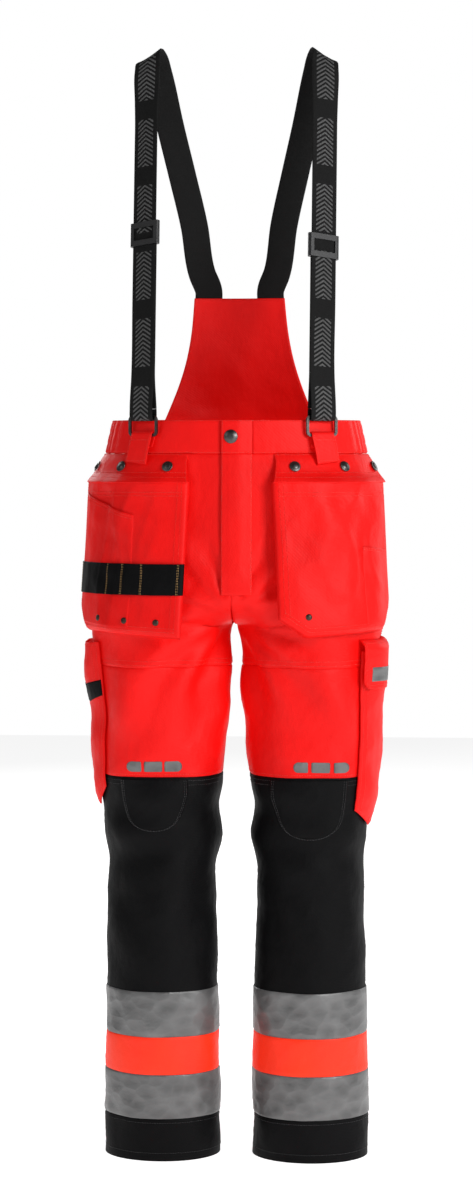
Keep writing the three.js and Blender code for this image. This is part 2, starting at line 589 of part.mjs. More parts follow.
// The webbing: up behind the ring's bar, round it, up the front run, over the crest and down to the bib.
function braceStations(side) {
  const { frame, foot, top, across, out } = braceRun(side);
  const barZ = RING_HEIGHT / 2 - RING_BAR / 2;
  const stations = [{ centre: inRing(frame, -LOOP_RADIUS, barZ + 11), across: frame.across }];
  for (let step = 0; step <= 6; step++) {
    const angle = Math.PI + (step / 6) * Math.PI;
    const outwards = LOOP_RADIUS * Math.cos(angle);
    const up = barZ + LOOP_RADIUS * Math.sin(angle);
    stations.push({ centre: inRing(frame, outwards, up), across: frame.across });
  }
  stations.push({ centre: inRing(frame, LOOP_RADIUS, barZ + 11), across: frame.across });
  stations.push({ centre: foot.clone().addScaledVector(out, LAYER_OFFSET), across });
  const crossing = new THREE.Vector3(0.84, 0.1 * side, -0.53 * side);
  for (const share of [0.82, 0.9]) {
    const centre = foot.clone().lerp(top, share).addScaledVector(out, LAYER_OFFSET);
    stations.push({ centre, across: across.clone().lerp(crossing, (share - 0.82) * 4) });
  }
  const route = [
    [BRACE_TOP_X, RUN_TOP_Y, CREST - RUN_TOP_DROP],
    [BRACE_TOP_X - 1, 6, CREST - 6],
    [BRACE_TOP_X - 4, 15, CREST - 1],
    [BRACE_TOP_X - 8, 24, CREST - 6],
    [BRACE_TOP_X - 13, 31, CREST - 24],
    [99, 44, CREST - 98],
    [82, 56, CREST - 170],
    [66, 67, CREST - 240],
    [55, 77, CREST - 310],
  ];
  const flat = new THREE.Vector3(1, -0.1 * side, -0.2 * side);
  route.forEach(([x, y, z], k) => {
    const centre = new THREE.Vector3(side * x, y, z);
    stations.push({ centre, across: crossing.clone().lerp(flat, Math.max(0, k - 2) / (route.length - 3)) });
  });
  const backOffset = WEBBING / 2 + LAYER_GAP + 0.4;
  for (const drop of [-10, BRACE_LAP / 2, BRACE_LAP]) {
    const v = 1 - drop / BIB_HEIGHT;
    const u = (1 + (side * BRACE_BIB_X) / BIB_TOP_HALF_WIDTH) / 2;
    const centre = bibPoint(u, v, backOffset);
    stations.push({ centre, across: new THREE.Vector3(1, -0.11 * side, 0) });
  }
  return stations;
}

function returnStations(side, sliderRise) {
  const { frame, foot, along, across, out } = braceRun(side);
  const barZ = RING_HEIGHT / 2 - RING_BAR / 2;
  const end = WAIST_TOP + sliderRise;
  const start = inRing(frame, -LOOP_RADIUS, barZ + 11.4);
  const reach = (end - foot.z) / along.z;
  return [
    { centre: start, across: frame.across },
    { centre: foot.clone().addScaledVector(out, -LAYER_OFFSET), across },
    { centre: foot.clone().addScaledVector(along, reach).addScaledVector(out, -LAYER_OFFSET), across },
  ];
}

// ---------- braces: hardware ----------
function roundedRectangle(width, height, corner, Kind = THREE.Shape) {
  const [x, y] = [width / 2, height / 2];
  const shape = new Kind();
  shape.moveTo(-x + corner, -y);
  shape.lineTo(x - corner, -y);
  shape.absarc(x - corner, -y + corner, corner, -Math.PI / 2, 0, false);
  shape.lineTo(x, y - corner);
  shape.absarc(x - corner, y - corner, corner, 0, Math.PI / 2, false);
  shape.lineTo(-x + corner, y);
  shape.absarc(-x + corner, y - corner, corner, Math.PI / 2, Math.PI, false);
  shape.lineTo(-x, -y + corner);
  shape.absarc(-x + corner, -y + corner, corner, Math.PI, 1.5 * Math.PI, false);
  return shape;
}

// Turns a geometry made along X, Y and Z into the frame of three unit vectors and a centre.
function intoFrame(geometry, across, second, third, centre) {
  const turn = new THREE.Matrix4().makeBasis(across, second, third).setPosition(centre);
  return geometry.applyMatrix4(turn);
}

// A right-handed width vector for a frame whose other two vectors are given.
const widthFor = (second, third) => new THREE.Vector3().crossVectors(second, third).normalize();

function ring(side) {
  const { centre, out } = ringFrame(side);
  const shape = roundedRectangle(RING_WIDTH, RING_HEIGHT, RING_CORNER);
  const [innerWidth, innerHeight] = [RING_WIDTH - 2 * RING_BAR, RING_HEIGHT - 2 * RING_BAR];
  shape.holes.push(roundedRectangle(innerWidth, innerHeight, RING_CORNER - RING_BAR, THREE.Path));
  const settings = { depth: RING_THICKNESS, bevelEnabled: false, curveSegments: 4 };
  const geometry = new THREE.ExtrudeGeometry(shape, settings).translate(0, 0, -RING_THICKNESS / 2);
  const up = new THREE.Vector3(0, 0, 1);
  return intoFrame(geometry, widthFor(up, out), up, out, centre);
}

function slider(side, rise) {
  const { foot, along, out } = braceRun(side);
  const centre = foot.clone().addScaledVector(along, (WAIST_TOP + rise - foot.z) / along.z);
  const shape = roundedRectangle(SLIDER_WIDTH, SLIDER_DEPTH, SLIDER_CORNER);
  shape.holes.push(roundedRectangle(WEBBING_WIDTH + 1, SLIDER_SLOT, 0.8, THREE.Path));
  const settings = { depth: SLIDER_LENGTH, bevelEnabled: false, curveSegments: 3 };
  const tube = new THREE.ExtrudeGeometry(shape, settings).translate(0, 0, -SLIDER_LENGTH / 2);
  const window = new THREE.BoxGeometry(WEBBING_WIDTH - 6, SLIDER_DEPTH, SLIDER_WINDOW);
  window.translate(0, -SLIDER_DEPTH / 2, 0);
  const body = cut(tube, window);
  const inwards = out.clone().negate();
  return intoFrame(body, widthFor(inwards, along), inwards, along, centre);
}

// The tab folds over the ring's lower bar: a front leaf, the fold, and a back leaf against the waistband.
function tabStations(side) {
  const frame = ringFrame(side);
  const barZ = -RING_HEIGHT / 2 + RING_BAR / 2;
  const fold = RING_BAR / 2 + LAYER_GAP + TAB_CLOTH / 2;
  const stand = RING_THICKNESS / 2 + LAYER_GAP + TAB_CLOTH / 2 + RING_PLAY;
  // A point in front of the body's surface, at a height and at a distance outwards from the ring's place.
  const onBody = (z, outwards, standing) => {
    const point = hipPoint(hipAngle(BRACE_FOOT_X + outwards, z), z, 0);
    point.x *= side;
    return point.addScaledVector(frame.out, standing);
  };
  const backZ = frame.centre.z + barZ - TAB_BACK_LEAF;
  const stations = [
    { centre: onBody(backZ, 3, TAB_BOW + TAB_CLOTH / 2), across: frame.across },
    { centre: inRing(frame, -stand, barZ + fold / 2), across: frame.across },
  ];
  for (const angle of [150, 110, 70, 30]) {
    const radians = THREE.MathUtils.degToRad(angle);
    const centre = inRing(frame, stand * Math.cos(radians), barZ + fold / 2 + fold * Math.sin(radians));
    stations.push({ centre, across: frame.across });
  }
  stations.push({ centre: inRing(frame, stand, barZ + fold / 2), across: frame.across });
  const lowZ = frame.centre.z + barZ + 1.5 * fold - TAB_LENGTH;
  const low = onBody(lowZ, TAB_SLANT, TAB_END_STAND);
  stations.push({ centre: low, across: frame.across });
  return stations;
}

for (const [side, name, rise] of [
  [RIGHT, "right", RIGHT_SLIDER_RISE],
  [LEFT, "left", LEFT_SLIDER_RISE],
]) {
  piece(`${name}_brace`, WEB_BLACK, ribbon(braceStations(side), WEBBING_WIDTH, WEBBING));
  piece(`${name}_brace_return`, WEB_BLACK, ribbon(returnStations(side, rise), WEBBING_WIDTH, WEBBING));
  piece(`${name}_brace_slider`, PLASTIC_BLACK, slider(side, rise));
  piece(`${name}_brace_ring`, GUNMETAL, ring(side));
  piece(`${name}_ring_tab`, RED_CLOTH, ribbon(tabStations(side), TAB_WIDTH, TAB_CLOTH));
}

// ---------- holsters ----------
const HOLSTER_CHORD = HOLSTER_OUTER.clone().sub(HOLSTER_INNER);
const HOLSTER_ALONG = HOLSTER_CHORD.clone().normalize();
const HOLSTER_OUT = new THREE.Vector2(HOLSTER_ALONG.y, -HOLSTER_ALONG.x);

// A point of a holster: u along the mouth from its inner end, z up, and depth out of the bag's back face.
function holsterPoint(side, u, z, depth) {
  const bow = HOLSTER_BOW * (1 - (2 * u - 1) ** 2);
  const flare = HOLSTER_LEAN * (MOUTH - z);
  const plan = HOLSTER_INNER.clone().lerp(HOLSTER_OUTER, u);
  plan.addScaledVector(HOLSTER_OUT, bow + flare + depth);
  return new THREE.Vector3(side * plan.x, plan.y, z);
}
const holsterRoom = (u) => HOLSTER_ROOM + HOLSTER_BELLY * Math.sin(Math.PI * u);
const holsterFront = (u) => CLOTH + holsterRoom(u) + CLOTH;

// The bottom edge rises at the outer end, and on the left bag at the inner end too.
function holsterBottom(u, innerCorner) {
  const outer = Math.max(0, (u - 0.86) / 0.14);
  const inner = innerCorner ? Math.max(0, (0.14 - u) / 0.14) : 0;
  return HOLSTER_FOOT + 8 * u + HOLSTER_CHAMFER * Math.max(outer, inner);
}

// A closed slab between two depths, from the bottom edge, raised by rim, to a top height.
function holsterSlab(side, innerCorner, near, far, rim, top) {
  const from = rim / HOLSTER_CHORD.length();
  return sheet(14, 2, (u, v, inside) => {
    const place = THREE.MathUtils.lerp(from, 1 - from, u);
    const z = THREE.MathUtils.lerp(holsterBottom(place, innerCorner) + rim, top, v);
    return holsterPoint(side, place, z, inside ? near(place) : far(place));
  });
}

function holsterBag(side, innerCorner) {
  const outer = holsterSlab(side, innerCorner, () => 0, holsterFront, 0, MOUTH);
  const inner = holsterSlab(side, innerCorner, () => CLOTH, (u) => holsterFront(u) - CLOTH, CLOTH, MOUTH + 5);
  return cut(outer, inner);
}

// A point of a yoke: u along its lower edge, v up to the waistband, and depth out of its inner face.
function yokePoint(side, u, v, depth) {
  const start = hipAngle(YOKE_START_X, BAND_BOTTOM);
  const high = hipPoint(THREE.MathUtils.lerp(start, Math.PI / 2, u), BAND_BOTTOM - SEAM_GAP, 0);
  high.x *= side;
  const out = new THREE.Vector3(side * HOLSTER_OUT.x, HOLSTER_OUT.y, 0);
  high.addScaledVector(out, YOKE_STANDOFF + depth);
  const low = holsterPoint(side, u, MOUTH + YOKE_GAP, holsterFront(u) / 2 + depth);
  return low.lerp(high, v);
}

function yoke(side) {
  return sheet(12, 2, (u, v, inside) => yokePoint(side, u, v, inside ? 0 : CLOTH));
}

// A button that stands on a surface given by a function of two shares, facing away from the body.
function buttonOn(surface, u, v, radius, height, segments) {
  const step = 0.02;
  const along = surface(u + step, v).sub(surface(u - step, v));
  const up = surface(u, v + step).sub(surface(u, v - step));
  const normal = along.cross(up).normalize();
  if (normal.y > 0) normal.negate();
  const spot = surface(u, v).addScaledVector(normal, BUTTON_STAND);
  return button(radius, height, spot, normal, segments);
}

function bagRivet(side, u, innerCorner) {
  const surface = (share, rise) => {
    const z = holsterBottom(u, innerCorner) + RIVET_RISE + rise * HOLSTER_HEIGHT;
    return holsterPoint(side, share, z, holsterFront(share));
  };
  return buttonOn(surface, u, 0, RIVET_RADIUS, RIVET_HEIGHT, 10);
}

for (const [side, name, innerCorner] of [
  [RIGHT, "right", false],
  [LEFT, "left", true],
]) {
  piece(`${name}_holster_bag`, RED_CLOTH, holsterBag(side, innerCorner));
  piece(`${name}_holster_yoke`, RED_CLOTH, yoke(side));
  for (const [place, u] of [["inner", 0.1], ["middle", 0.5], ["outer", 0.92]]) {
    const face = (share, rise) => yokePoint(side, share, rise, CLOTH);
    const snap = buttonOn(face, u, 0.5, YOKE_SNAP_RADIUS, YOKE_SNAP_HEIGHT, 14);
    piece(`${name}_yoke_snap_${place}`, GUNMETAL, snap);
  }
}
for (const [place, u] of [["inner", 0.08], ["middle", 0.33], ["outer", 0.61]])
  piece(`right_bag_rivet_${place}`, GUNMETAL, bagRivet(RIGHT, u, false));
for (const [place, u] of [["inner", 0.11], ["outer", 0.71]])
  piece(`left_bag_rivet_${place}`, GUNMETAL, bagRivet(LEFT, u, true));

function toolStrip(side) {
  return sheet(12, 1, (u, v, inside) => {
    const z = MOUTH - STRIP_TOP - STRIP_HEIGHT * (1 - v);
    return holsterPoint(side, u, z, holsterFront(u) + LAYER_GAP + (inside ? 0 : CLOTH));
  });
}
piece("tool_strip", BLACK_CLOTH, toolStrip(RIGHT));

// ---------- thigh pockets ----------
// A patch on the outer side of a leg: it stands off the leg inside its edges and is open at the top.
function pocketStand(u, v) {
  const across = Math.min(1, Math.sin(Math.PI * u) * 1.6);
  const up = Math.min(1, v * 6);
  return POCKET_EDGE_GAP + POCKET_ROOM * across * up;
}

function patchPocket(side, { top, bottom, from, to }) {
  return sheet(8, 6, (u, v, inside) => {
    const share = v ** 1.6;
    const angle = THREE.MathUtils.degToRad(THREE.MathUtils.lerp(from, to, u));
    const z = THREE.MathUtils.lerp(bottom, top, share);
    return legPoint(side, angle, z, -pocketStand(u, share) - (inside ? 0 : CLOTH));
  });
}

// The flap is sewn to the leg along its top edge, and hangs over the pocket's mouth.
function cargoFlap(side) {
  const { top, from, to } = CARGO_POCKET;
  const hem = top + CARGO_FLAP_RISE - CARGO_FLAP_HEIGHT;
  const shoulder = top + CARGO_FLAP_RISE / 2;
  const levels = [hem, (hem + THIGH_TOP) / 2, THIGH_TOP, shoulder, top + CARGO_FLAP_RISE];
  const rows = levels.length - 1;
  return sheet(8, rows, (u, v, inside) => {
    const angle = THREE.MathUtils.degToRad(THREE.MathUtils.lerp(from - 2, to + 2, u));
    const z = levels[Math.round(v * rows)];
    const stand = v === 1 ? POCKET_EDGE_GAP : POCKET_EDGE_GAP + POCKET_ROOM + CLOTH + CARGO_FLAP_STAND;
    return legPoint(side, angle, z, -stand - (inside ? 0 : CLOTH));
  });
}
piece("rule_pocket", RED_CLOTH, patchPocket(RIGHT, RULE_POCKET));
piece("cargo_pocket", RED_CLOTH, patchPocket(LEFT, CARGO_POCKET));
piece("cargo_flap", RED_CLOTH, cargoFlap(LEFT));

// The model's box is centred over the origin.
const box = new THREE.Box3().setFromObject(assembly);
assembly.position.set(-(box.min.x + box.max.x) / 2, -(box.min.y + box.max.y) / 2, 0);

export default assembly;
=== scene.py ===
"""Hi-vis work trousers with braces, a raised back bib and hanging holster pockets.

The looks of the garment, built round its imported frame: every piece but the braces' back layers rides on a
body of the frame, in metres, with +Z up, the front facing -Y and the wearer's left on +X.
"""

from __future__ import annotations

import json
import logging
import math
from dataclasses import dataclass, field
from enum import Enum
from typing import Iterable, Sequence

import bmesh
import bpy
import numpy as np
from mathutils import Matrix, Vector

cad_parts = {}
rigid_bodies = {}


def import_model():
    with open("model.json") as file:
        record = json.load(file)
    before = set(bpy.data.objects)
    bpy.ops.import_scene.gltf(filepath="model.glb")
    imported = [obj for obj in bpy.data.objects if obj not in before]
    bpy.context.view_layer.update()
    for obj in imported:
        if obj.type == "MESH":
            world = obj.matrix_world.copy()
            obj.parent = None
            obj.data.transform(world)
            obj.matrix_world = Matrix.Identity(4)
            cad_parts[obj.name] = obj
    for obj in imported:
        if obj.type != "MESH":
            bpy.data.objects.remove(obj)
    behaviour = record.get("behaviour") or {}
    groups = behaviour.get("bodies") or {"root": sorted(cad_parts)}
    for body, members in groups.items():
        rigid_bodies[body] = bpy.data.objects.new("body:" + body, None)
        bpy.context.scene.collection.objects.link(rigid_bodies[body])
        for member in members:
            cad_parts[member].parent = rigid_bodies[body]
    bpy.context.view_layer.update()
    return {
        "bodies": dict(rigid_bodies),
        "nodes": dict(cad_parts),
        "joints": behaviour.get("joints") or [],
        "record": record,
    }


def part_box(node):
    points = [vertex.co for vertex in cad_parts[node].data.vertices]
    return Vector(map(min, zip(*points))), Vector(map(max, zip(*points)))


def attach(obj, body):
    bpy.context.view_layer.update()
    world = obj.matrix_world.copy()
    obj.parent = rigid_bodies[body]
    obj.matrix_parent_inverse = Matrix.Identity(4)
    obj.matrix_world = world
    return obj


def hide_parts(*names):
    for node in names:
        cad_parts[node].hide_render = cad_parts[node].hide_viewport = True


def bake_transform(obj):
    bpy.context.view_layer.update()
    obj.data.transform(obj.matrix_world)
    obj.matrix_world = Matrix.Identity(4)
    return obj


log = logging.getLogger("work_trousers")
Array = np.ndarray
FRAME: dict = {}


# ---------------------------------------------------------------- sides and levels


class Side(Enum):
    """The wearer's side; the value is the sign of X."""

    RIGHT = -1
    LEFT = 1

    @property
    def word(self) -> str:
        """The side's word in node names."""
        return self.name.lower()


@dataclass(frozen=True)
class Levels:
    """Heights above the floor, in metres."""

    cuff: float = 0.062
    lower_tape: float = 0.126
    orange: float = 0.181
    upper_tape: float = 0.247
    knee: float = 0.559
    thigh: float = 0.717
    crotch: float = 0.776
    band: float = 1.021
    waist: float = 1.069
    bib: float = 1.249
    holster_mouth: float = 0.983


LEVELS = Levels()


# ---------------------------------------------------------------- numbers and noise


def smoothstep(low: float, high: float, x: Array) -> Array:
    """A smooth ramp from 0 at low to 1 at high."""
    t = np.clip((np.asarray(x, float) - low) / (high - low), 0.0, 1.0)
    return t * t * (3.0 - 2.0 * t)


def bump(centre: float, width: float, x: Array) -> Array:
    """A bell of height 1 at centre that has faded a width away."""
    return np.exp(-(((np.asarray(x, float) - centre) / width) ** 2))


class FoldNoise:
    """Smooth seeded noise made of a few sine waves in chosen directions."""

    def __init__(self, seed: int, waves: int = 12) -> None:
        """Draws the waves.

        Args:
            seed: the seed of the random draws.
            waves: how many waves are added up.
        """
        draw = np.random.default_rng(seed)
        self.directions = draw.normal(size=(waves, 3))
        self.directions /= np.linalg.norm(self.directions, axis=1, keepdims=True)
        self.phases = draw.uniform(0.0, 2.0 * math.pi, waves)
        self.stretch = draw.uniform(0.6, 1.6, waves)

    def at(self, points: Array, length: float, squash: Sequence[float] = (1.0, 1.0, 1.0)) -> Array:
        """The noise at some points.

        Args:
            points: an array whose last axis is x, y, z.
            length: a wave's length, in metres.
            squash: factors on the three directions before the waves are laid.

        Returns:
            Values of about -1 to 1, one a point.
        """
        scaled = points * (np.asarray(squash) * 2.0 * math.pi / length)
        total = np.zeros(points.shape[:-1])
        for direction, phase, stretch in zip(self.directions, self.phases, self.stretch):
            bent = phase + 0.8 * np.sin(scaled @ np.roll(direction, 1) * 0.5 + phase)
            total += np.sin(scaled @ direction * stretch + bent)
        return total / math.sqrt(len(self.phases)) * 0.9


def ridges(values: Array, sharpness: float = 2.0) -> Array:
    """Turns smooth noise into narrow creases between broad swells, from 0 to 1."""
    return (1.0 - np.abs(np.clip(values, -1.0, 1.0))) ** sharpness


# ---------------------------------------------------------------- finishes


class Nodes:
    """A short way to lay out a material's nodes."""

    def __init__(self, name: str) -> None:
        """Starts an empty material with its output and its shader."""
        self.material = bpy.data.materials.new(name)
        self.material.use_nodes = True
        self.tree = self.material.node_tree
        self.tree.nodes.clear()
        self.output = self.tree.nodes.new("ShaderNodeOutputMaterial")
        self.shader = self.tree.nodes.new("ShaderNodeBsdfPrincipled")
        self.link(self.shader.outputs["BSDF"], self.output.inputs["Surface"])
        self.place = self.tree.nodes.new("ShaderNodeTexCoord").outputs["Object"]

    def link(self, start: bpy.types.NodeSocket, end: bpy.types.NodeSocket) -> None:
        """Joins two sockets."""
        self.tree.links.new(start, end)

    def _feed(self, socket: bpy.types.NodeSocket, value: object) -> None:
        """Links a socket to another, or sets its value."""
        if isinstance(value, bpy.types.NodeSocket):
            self.link(value, socket)
        else:
            socket.default_value = value

    def math(self, operation: str, first: object, second: object = 0.0) -> bpy.types.NodeSocket:
        """The result of a math node."""
        node = self.tree.nodes.new("ShaderNodeMath")
        node.operation = operation
        self._feed(node.inputs[0], first)
        self._feed(node.inputs[1], second)
        return node.outputs[0]

    def stretched(self, scale: Sequence[float], turn: Sequence[float] = (0, 0, 0)) -> bpy.types.NodeSocket:
        """Object coordinates, turned and scaled."""
        node = self.tree.nodes.new("ShaderNodeMapping")
        self.link(self.place, node.inputs["Vector"])
        node.inputs["Scale"].default_value = scale
        node.inputs["Rotation"].default_value = turn
        return node.outputs["Vector"]

    def noise(
        self, vector: object, scale: float, detail: float = 3.0, roughness: float = 0.55
    ) -> bpy.types.NodeSocket:
        """A noise texture's factor."""
        node = self.tree.nodes.new("ShaderNodeTexNoise")
        self._feed(node.inputs["Vector"], vector)
        node.inputs["Scale"].default_value = scale
        node.inputs["Detail"].default_value = detail
        node.inputs["Roughness"].default_value = roughness
        return node.outputs["Fac"]

    def wave(self, vector: object, scale: float, distortion: float = 0.0) -> bpy.types.NodeSocket:
        """A band texture's factor, across X of the vector."""
        node = self.tree.nodes.new("ShaderNodeTexWave")
        self._feed(node.inputs["Vector"], vector)
        node.inputs["Scale"].default_value = scale
        node.inputs["Distortion"].default_value = distortion
        return node.outputs["Fac"]

    def cells(self, vector: object, scale: float) -> bpy.types.NodeSocket:
        """A Voronoi texture's distance."""
        node = self.tree.nodes.new("ShaderNodeTexVoronoi")
        self._feed(node.inputs["Vector"], vector)
        node.inputs["Scale"].default_value = scale
        return node.outputs["Distance"]

    def ramp(self, factor: object, stops: Iterable[tuple[float, Sequence[float]]]) -> bpy.types.NodeSocket:
        """A colour ramp's colour."""
        node = self.tree.nodes.new("ShaderNodeValToRGB")
        self._feed(node.inputs["Fac"], factor)
        stops = list(stops)
        elements = node.color_ramp.elements
        while len(elements) < len(stops):
            elements.new(0.5)
        for element, (place, colour) in zip(elements, stops):
            element.position = place
            element.color = (*colour[:3], 1.0)
        return node.outputs["Color"]

    def mix(self, factor: object, first: object, second: object) -> bpy.types.NodeSocket:
        """Two colours mixed by a factor."""
        node = self.tree.nodes.new("ShaderNodeMix")
        node.data_type = "RGBA"
        self._feed(node.inputs["Factor"], factor)
        for key, value in (("A", first), ("B", second)):
            socket = next(s for s in node.inputs if s.name == key and s.type == "RGBA")
            self._feed(socket, value if isinstance(value, bpy.types.NodeSocket) else (*value[:3], 1.0))
        return next(s for s in node.outputs if s.type == "RGBA")

    def attribute(self, name: str) -> bpy.types.NodeSocket:
        """A float attribute of the mesh."""
        node = self.tree.nodes.new("ShaderNodeAttribute")
        node.attribute_name = name
        return node.outputs["Fac"]

    def bump(
        self, height: object, distance: float, strength: float, below: object = None
    ) -> bpy.types.NodeSocket:
        """A bump normal, over another one when below is given."""
        node = self.tree.nodes.new("ShaderNodeBump")
        self._feed(node.inputs["Height"], height)
        node.inputs["Distance"].default_value = distance
        node.inputs["Strength"].default_value = strength
        if below is not None:
            self.link(below, node.inputs["Normal"])
        return node.outputs["Normal"]

    def set(self, **values: object) -> None:
        """Sets or links inputs of the shader; an underscore stands for a space."""
        for key, value in values.items():
            self._feed(self.shader.inputs[key.replace("_", " ").title().replace("Ior", "IOR")], value)


def grey(value: float) -> tuple[float, float, float]:
    """A neutral colour."""
    return (value, value, value)


@dataclass(frozen=True)
class ClothFinish:
    """Woven cloth: a fine twill, a softer grain over it, and slow changes of colour."""

    name: str
    slot: str
    colour: tuple[float, float, float]
    shade: tuple[float, float, float]
    roughness: float = 0.8
    sheen: float = 0.15
    specular: float = 0.25
    twill: float = 900.0
    crinkle: float = 0.35
    # Strength of a painted glow: emission in the cloth's own colour that brightens its shaded parts.
    glow: float = 0.0

    def material(self) -> bpy.types.Material:
        """Makes the material.

        Returns:
            A material with twill, grain and colour variation from its nodes.
        """
        n = Nodes(self.name)
        slow = n.noise(n.stretched((1, 1, 0.6)), 9.0, 4.0)
        grain = n.noise(n.place, 900.0, 2.0)
        twill = n.wave(n.stretched((1, 1, 1), (0, 0.7, 0.7)), self.twill * 0.16)
        tone = n.math("ADD", n.math("MULTIPLY", slow, 0.7), n.math("MULTIPLY", grain, 0.3))
        colour = n.ramp(tone, [(0.3, self.shade), (0.62, self.colour)])
        n.set(base_color=colour, roughness=self.roughness, specular_ior_level=self.specular)
        n.shader.inputs["Sheen Weight"].default_value = self.sheen
        n.shader.inputs["Sheen Roughness"].default_value = 0.4
        # The cloth emits its own colour: a painted glow that lifts its shaded parts, though it is no lamp.
        if self.glow:
            n.shader.inputs["Emission Color"].default_value = (*self.colour, 1.0)
            n.shader.inputs["Emission Strength"].default_value = self.glow
        crinkle = n.noise(n.stretched((1, 1, 0.75)), 55.0, 5.0, 0.6)
        soft = n.bump(crinkle, 0.004, self.crinkle)
        weave = n.math("ADD", n.math("MULTIPLY", twill, 0.6), n.math("MULTIPLY", grain, 0.4))
        n.link(n.bump(weave, 0.0004, 0.35, soft), n.shader.inputs["Normal"])
        return n.material


@dataclass(frozen=True)
class ReflectiveFinish:
    """Grey reflective tape: glass beads in a smooth film that creases into soft facets."""

    name: str = "reflective_tape"
    slot: str = "reflective_tape"

    def material(self) -> bpy.types.Material:
        """Makes the material.

        Returns:
            A satin grey material with crinkles and fine beads.
        """
        n = Nodes(self.name)
        facets = n.cells(n.stretched((1, 1, 1.3)), 42.0)
        cloudy = n.noise(n.stretched((1, 1, 1.6)), 26.0, 3.0)
        # The grey follows the crinkle relief that the bump below draws from the same facets and clouds: the
        # tape's own uneven tone, with painted shade in the hollow facets and painted light on the raised
        # ones.
        tone = n.math("ADD", n.math("MULTIPLY", facets, 0.35), n.math("MULTIPLY", cloudy, 0.65))
        n.set(base_color=n.ramp(tone, [(0.3, grey(0.10)), (0.5, grey(0.135)), (0.7, grey(0.17))]))
        n.set(roughness=0.42, metallic=0.35, specular_ior_level=0.5)
        beads = n.cells(n.place, 2600.0)
        soft = n.bump(n.math("ADD", facets, cloudy), 0.006, 0.35)
        n.link(n.bump(beads, 0.0002, 0.3, soft), n.shader.inputs["Normal"])
        return n.material


@dataclass(frozen=True)
class WebbingFinish:
    """Black woven webbing with grey blocks of slanting bars woven into its outer face."""

    name: str = "brace_webbing"
    slot: str = "webbing"
    repeat: float = 0.098
    block: float = 0.070
    half: float = 0.66

    def material(self) -> bpy.types.Material:
        """Makes the material.

        Returns:
            A ribbed black weave with its woven blocks.
        """
        n = Nodes(self.name)
        along, across, face = n.attribute("along"), n.attribute("across"), n.attribute("face")
        place = n.math("FRACT", n.math("DIVIDE", along, self.repeat))
        inside = n.math(
            "MULTIPLY", n.math("LESS_THAN", place, self.block / self.repeat),
            n.math("GREATER_THAN", face, 0.5)
        )
        inside = n.math("MULTIPLY", inside, n.math("LESS_THAN", n.math("ABSOLUTE", across), self.half))
        slant = n.math(
            "ADD", n.math("MULTIPLY", along, 1 / 0.0064), n.math("MULTIPLY", n.math("ABSOLUTE", across), 2.2)
        )
        bars = n.math("GREATER_THAN", n.math("FRACT", slant), 0.55)
        threads = n.math("GREATER_THAN", n.math("FRACT", n.math("MULTIPLY", across, 17.0)), 0.25)
        woven = n.math("MULTIPLY", n.math("MULTIPLY", inside, bars), threads)
        grain = n.noise(n.place, 700.0, 2.0)
        black = n.ramp(grain, [(0.3, grey(0.002)), (0.7, grey(0.006))])
        pale = n.ramp(grain, [(0.3, grey(0.07)), (0.7, grey(0.15))])
        n.set(base_color=n.mix(woven, black, pale), roughness=0.8, specular_ior_level=0.22)
        ribs = n.math("ABSOLUTE", n.math("SINE", n.math("MULTIPLY", along, 2 * math.pi / 0.0022)))
        cords = n.math("ABSOLUTE", n.math("SINE", n.math("MULTIPLY", across, 44.0)))
        height = n.math("ADD", n.math("MULTIPLY", ribs, 0.5), n.math("MULTIPLY", cords, 0.5))
        n.link(n.bump(height, 0.0004, 0.5), n.shader.inputs["Normal"])
        return n.material


@dataclass(frozen=True)
class HardFinish:
    """Moulded plastic or plated metal with a fine texture."""

    name: str
    slot: str
    colour: tuple[float, float, float]
    roughness: float
    metallic: float = 0.0
    grain: float = 700.0

    def material(self) -> bpy.types.Material:
        """Makes the material.

        Returns:
            A material with worn tone and a fine surface texture.
        """
        n = Nodes(self.name)
        worn = n.noise(n.place, 120.0, 4.0)
        fine = n.noise(n.place, self.grain, 2.0)
        light = tuple(min(1.0, c * 1.7 + 0.004) for c in self.colour)
        n.set(base_color=n.ramp(worn, [(0.35, self.colour), (0.7, light)]), metallic=self.metallic)
        rough = n.math("MULTIPLY_ADD", worn, 0.25)
        n.tree.nodes[-1].inputs[2].default_value = self.roughness - 0.12
        n.set(roughness=rough)
        n.link(n.bump(fine, 0.0003, 0.25), n.shader.inputs["Normal"])
        return n.material


RED = ClothFinish(
    "red_twill", "red_cloth", (0.8, 0.0025, 0.0015), (0.6, 0.001, 0.0008), 0.55, 0.0, 0.2, glow=0.1
)
ORANGE = ClothFinish(
    "orange_band", "orange_cloth", (0.95, 0.03, 0.002), (0.8, 0.012, 0.001), 0.55, 0.02, 0.35, glow=0.2
)
BLACK = ClothFinish(
    "black_canvas", "black_cloth", (0.0018, 0.0017, 0.0021), (0.0008, 0.0008, 0.001), 0.6, 0.0, 0.1
)
TAPE = ReflectiveFinish()
PLASTIC = HardFinish("black_plastic", "black_plastic", (0.004, 0.004, 0.0045), 0.42)
GUNMETAL = HardFinish("gunmetal", "gunmetal", (0.07, 0.068, 0.066), 0.36, 1.0)
RED_THREAD = ClothFinish("red_thread", "red_cloth", (0.9, 0.03, 0.012), (0.6, 0.008, 0.004), 0.6, 0.2, 0.3)
SAND_THREAD = ClothFinish("sand_thread", "black_cloth", (0.55, 0.33, 0.12), (0.35, 0.2, 0.07), 0.6, 0.2, 0.3)
BLACK_THREAD = ClothFinish(
    "black_thread", "black_cloth", (0.03, 0.029, 0.032), (0.012, 0.012, 0.013), 0.6, 0.2, 0.3
)
WEBBING = WebbingFinish()
ANTIQUE = HardFinish("antique_stud", "gunmetal", (0.05, 0.035, 0.028), 0.45, 1.0)


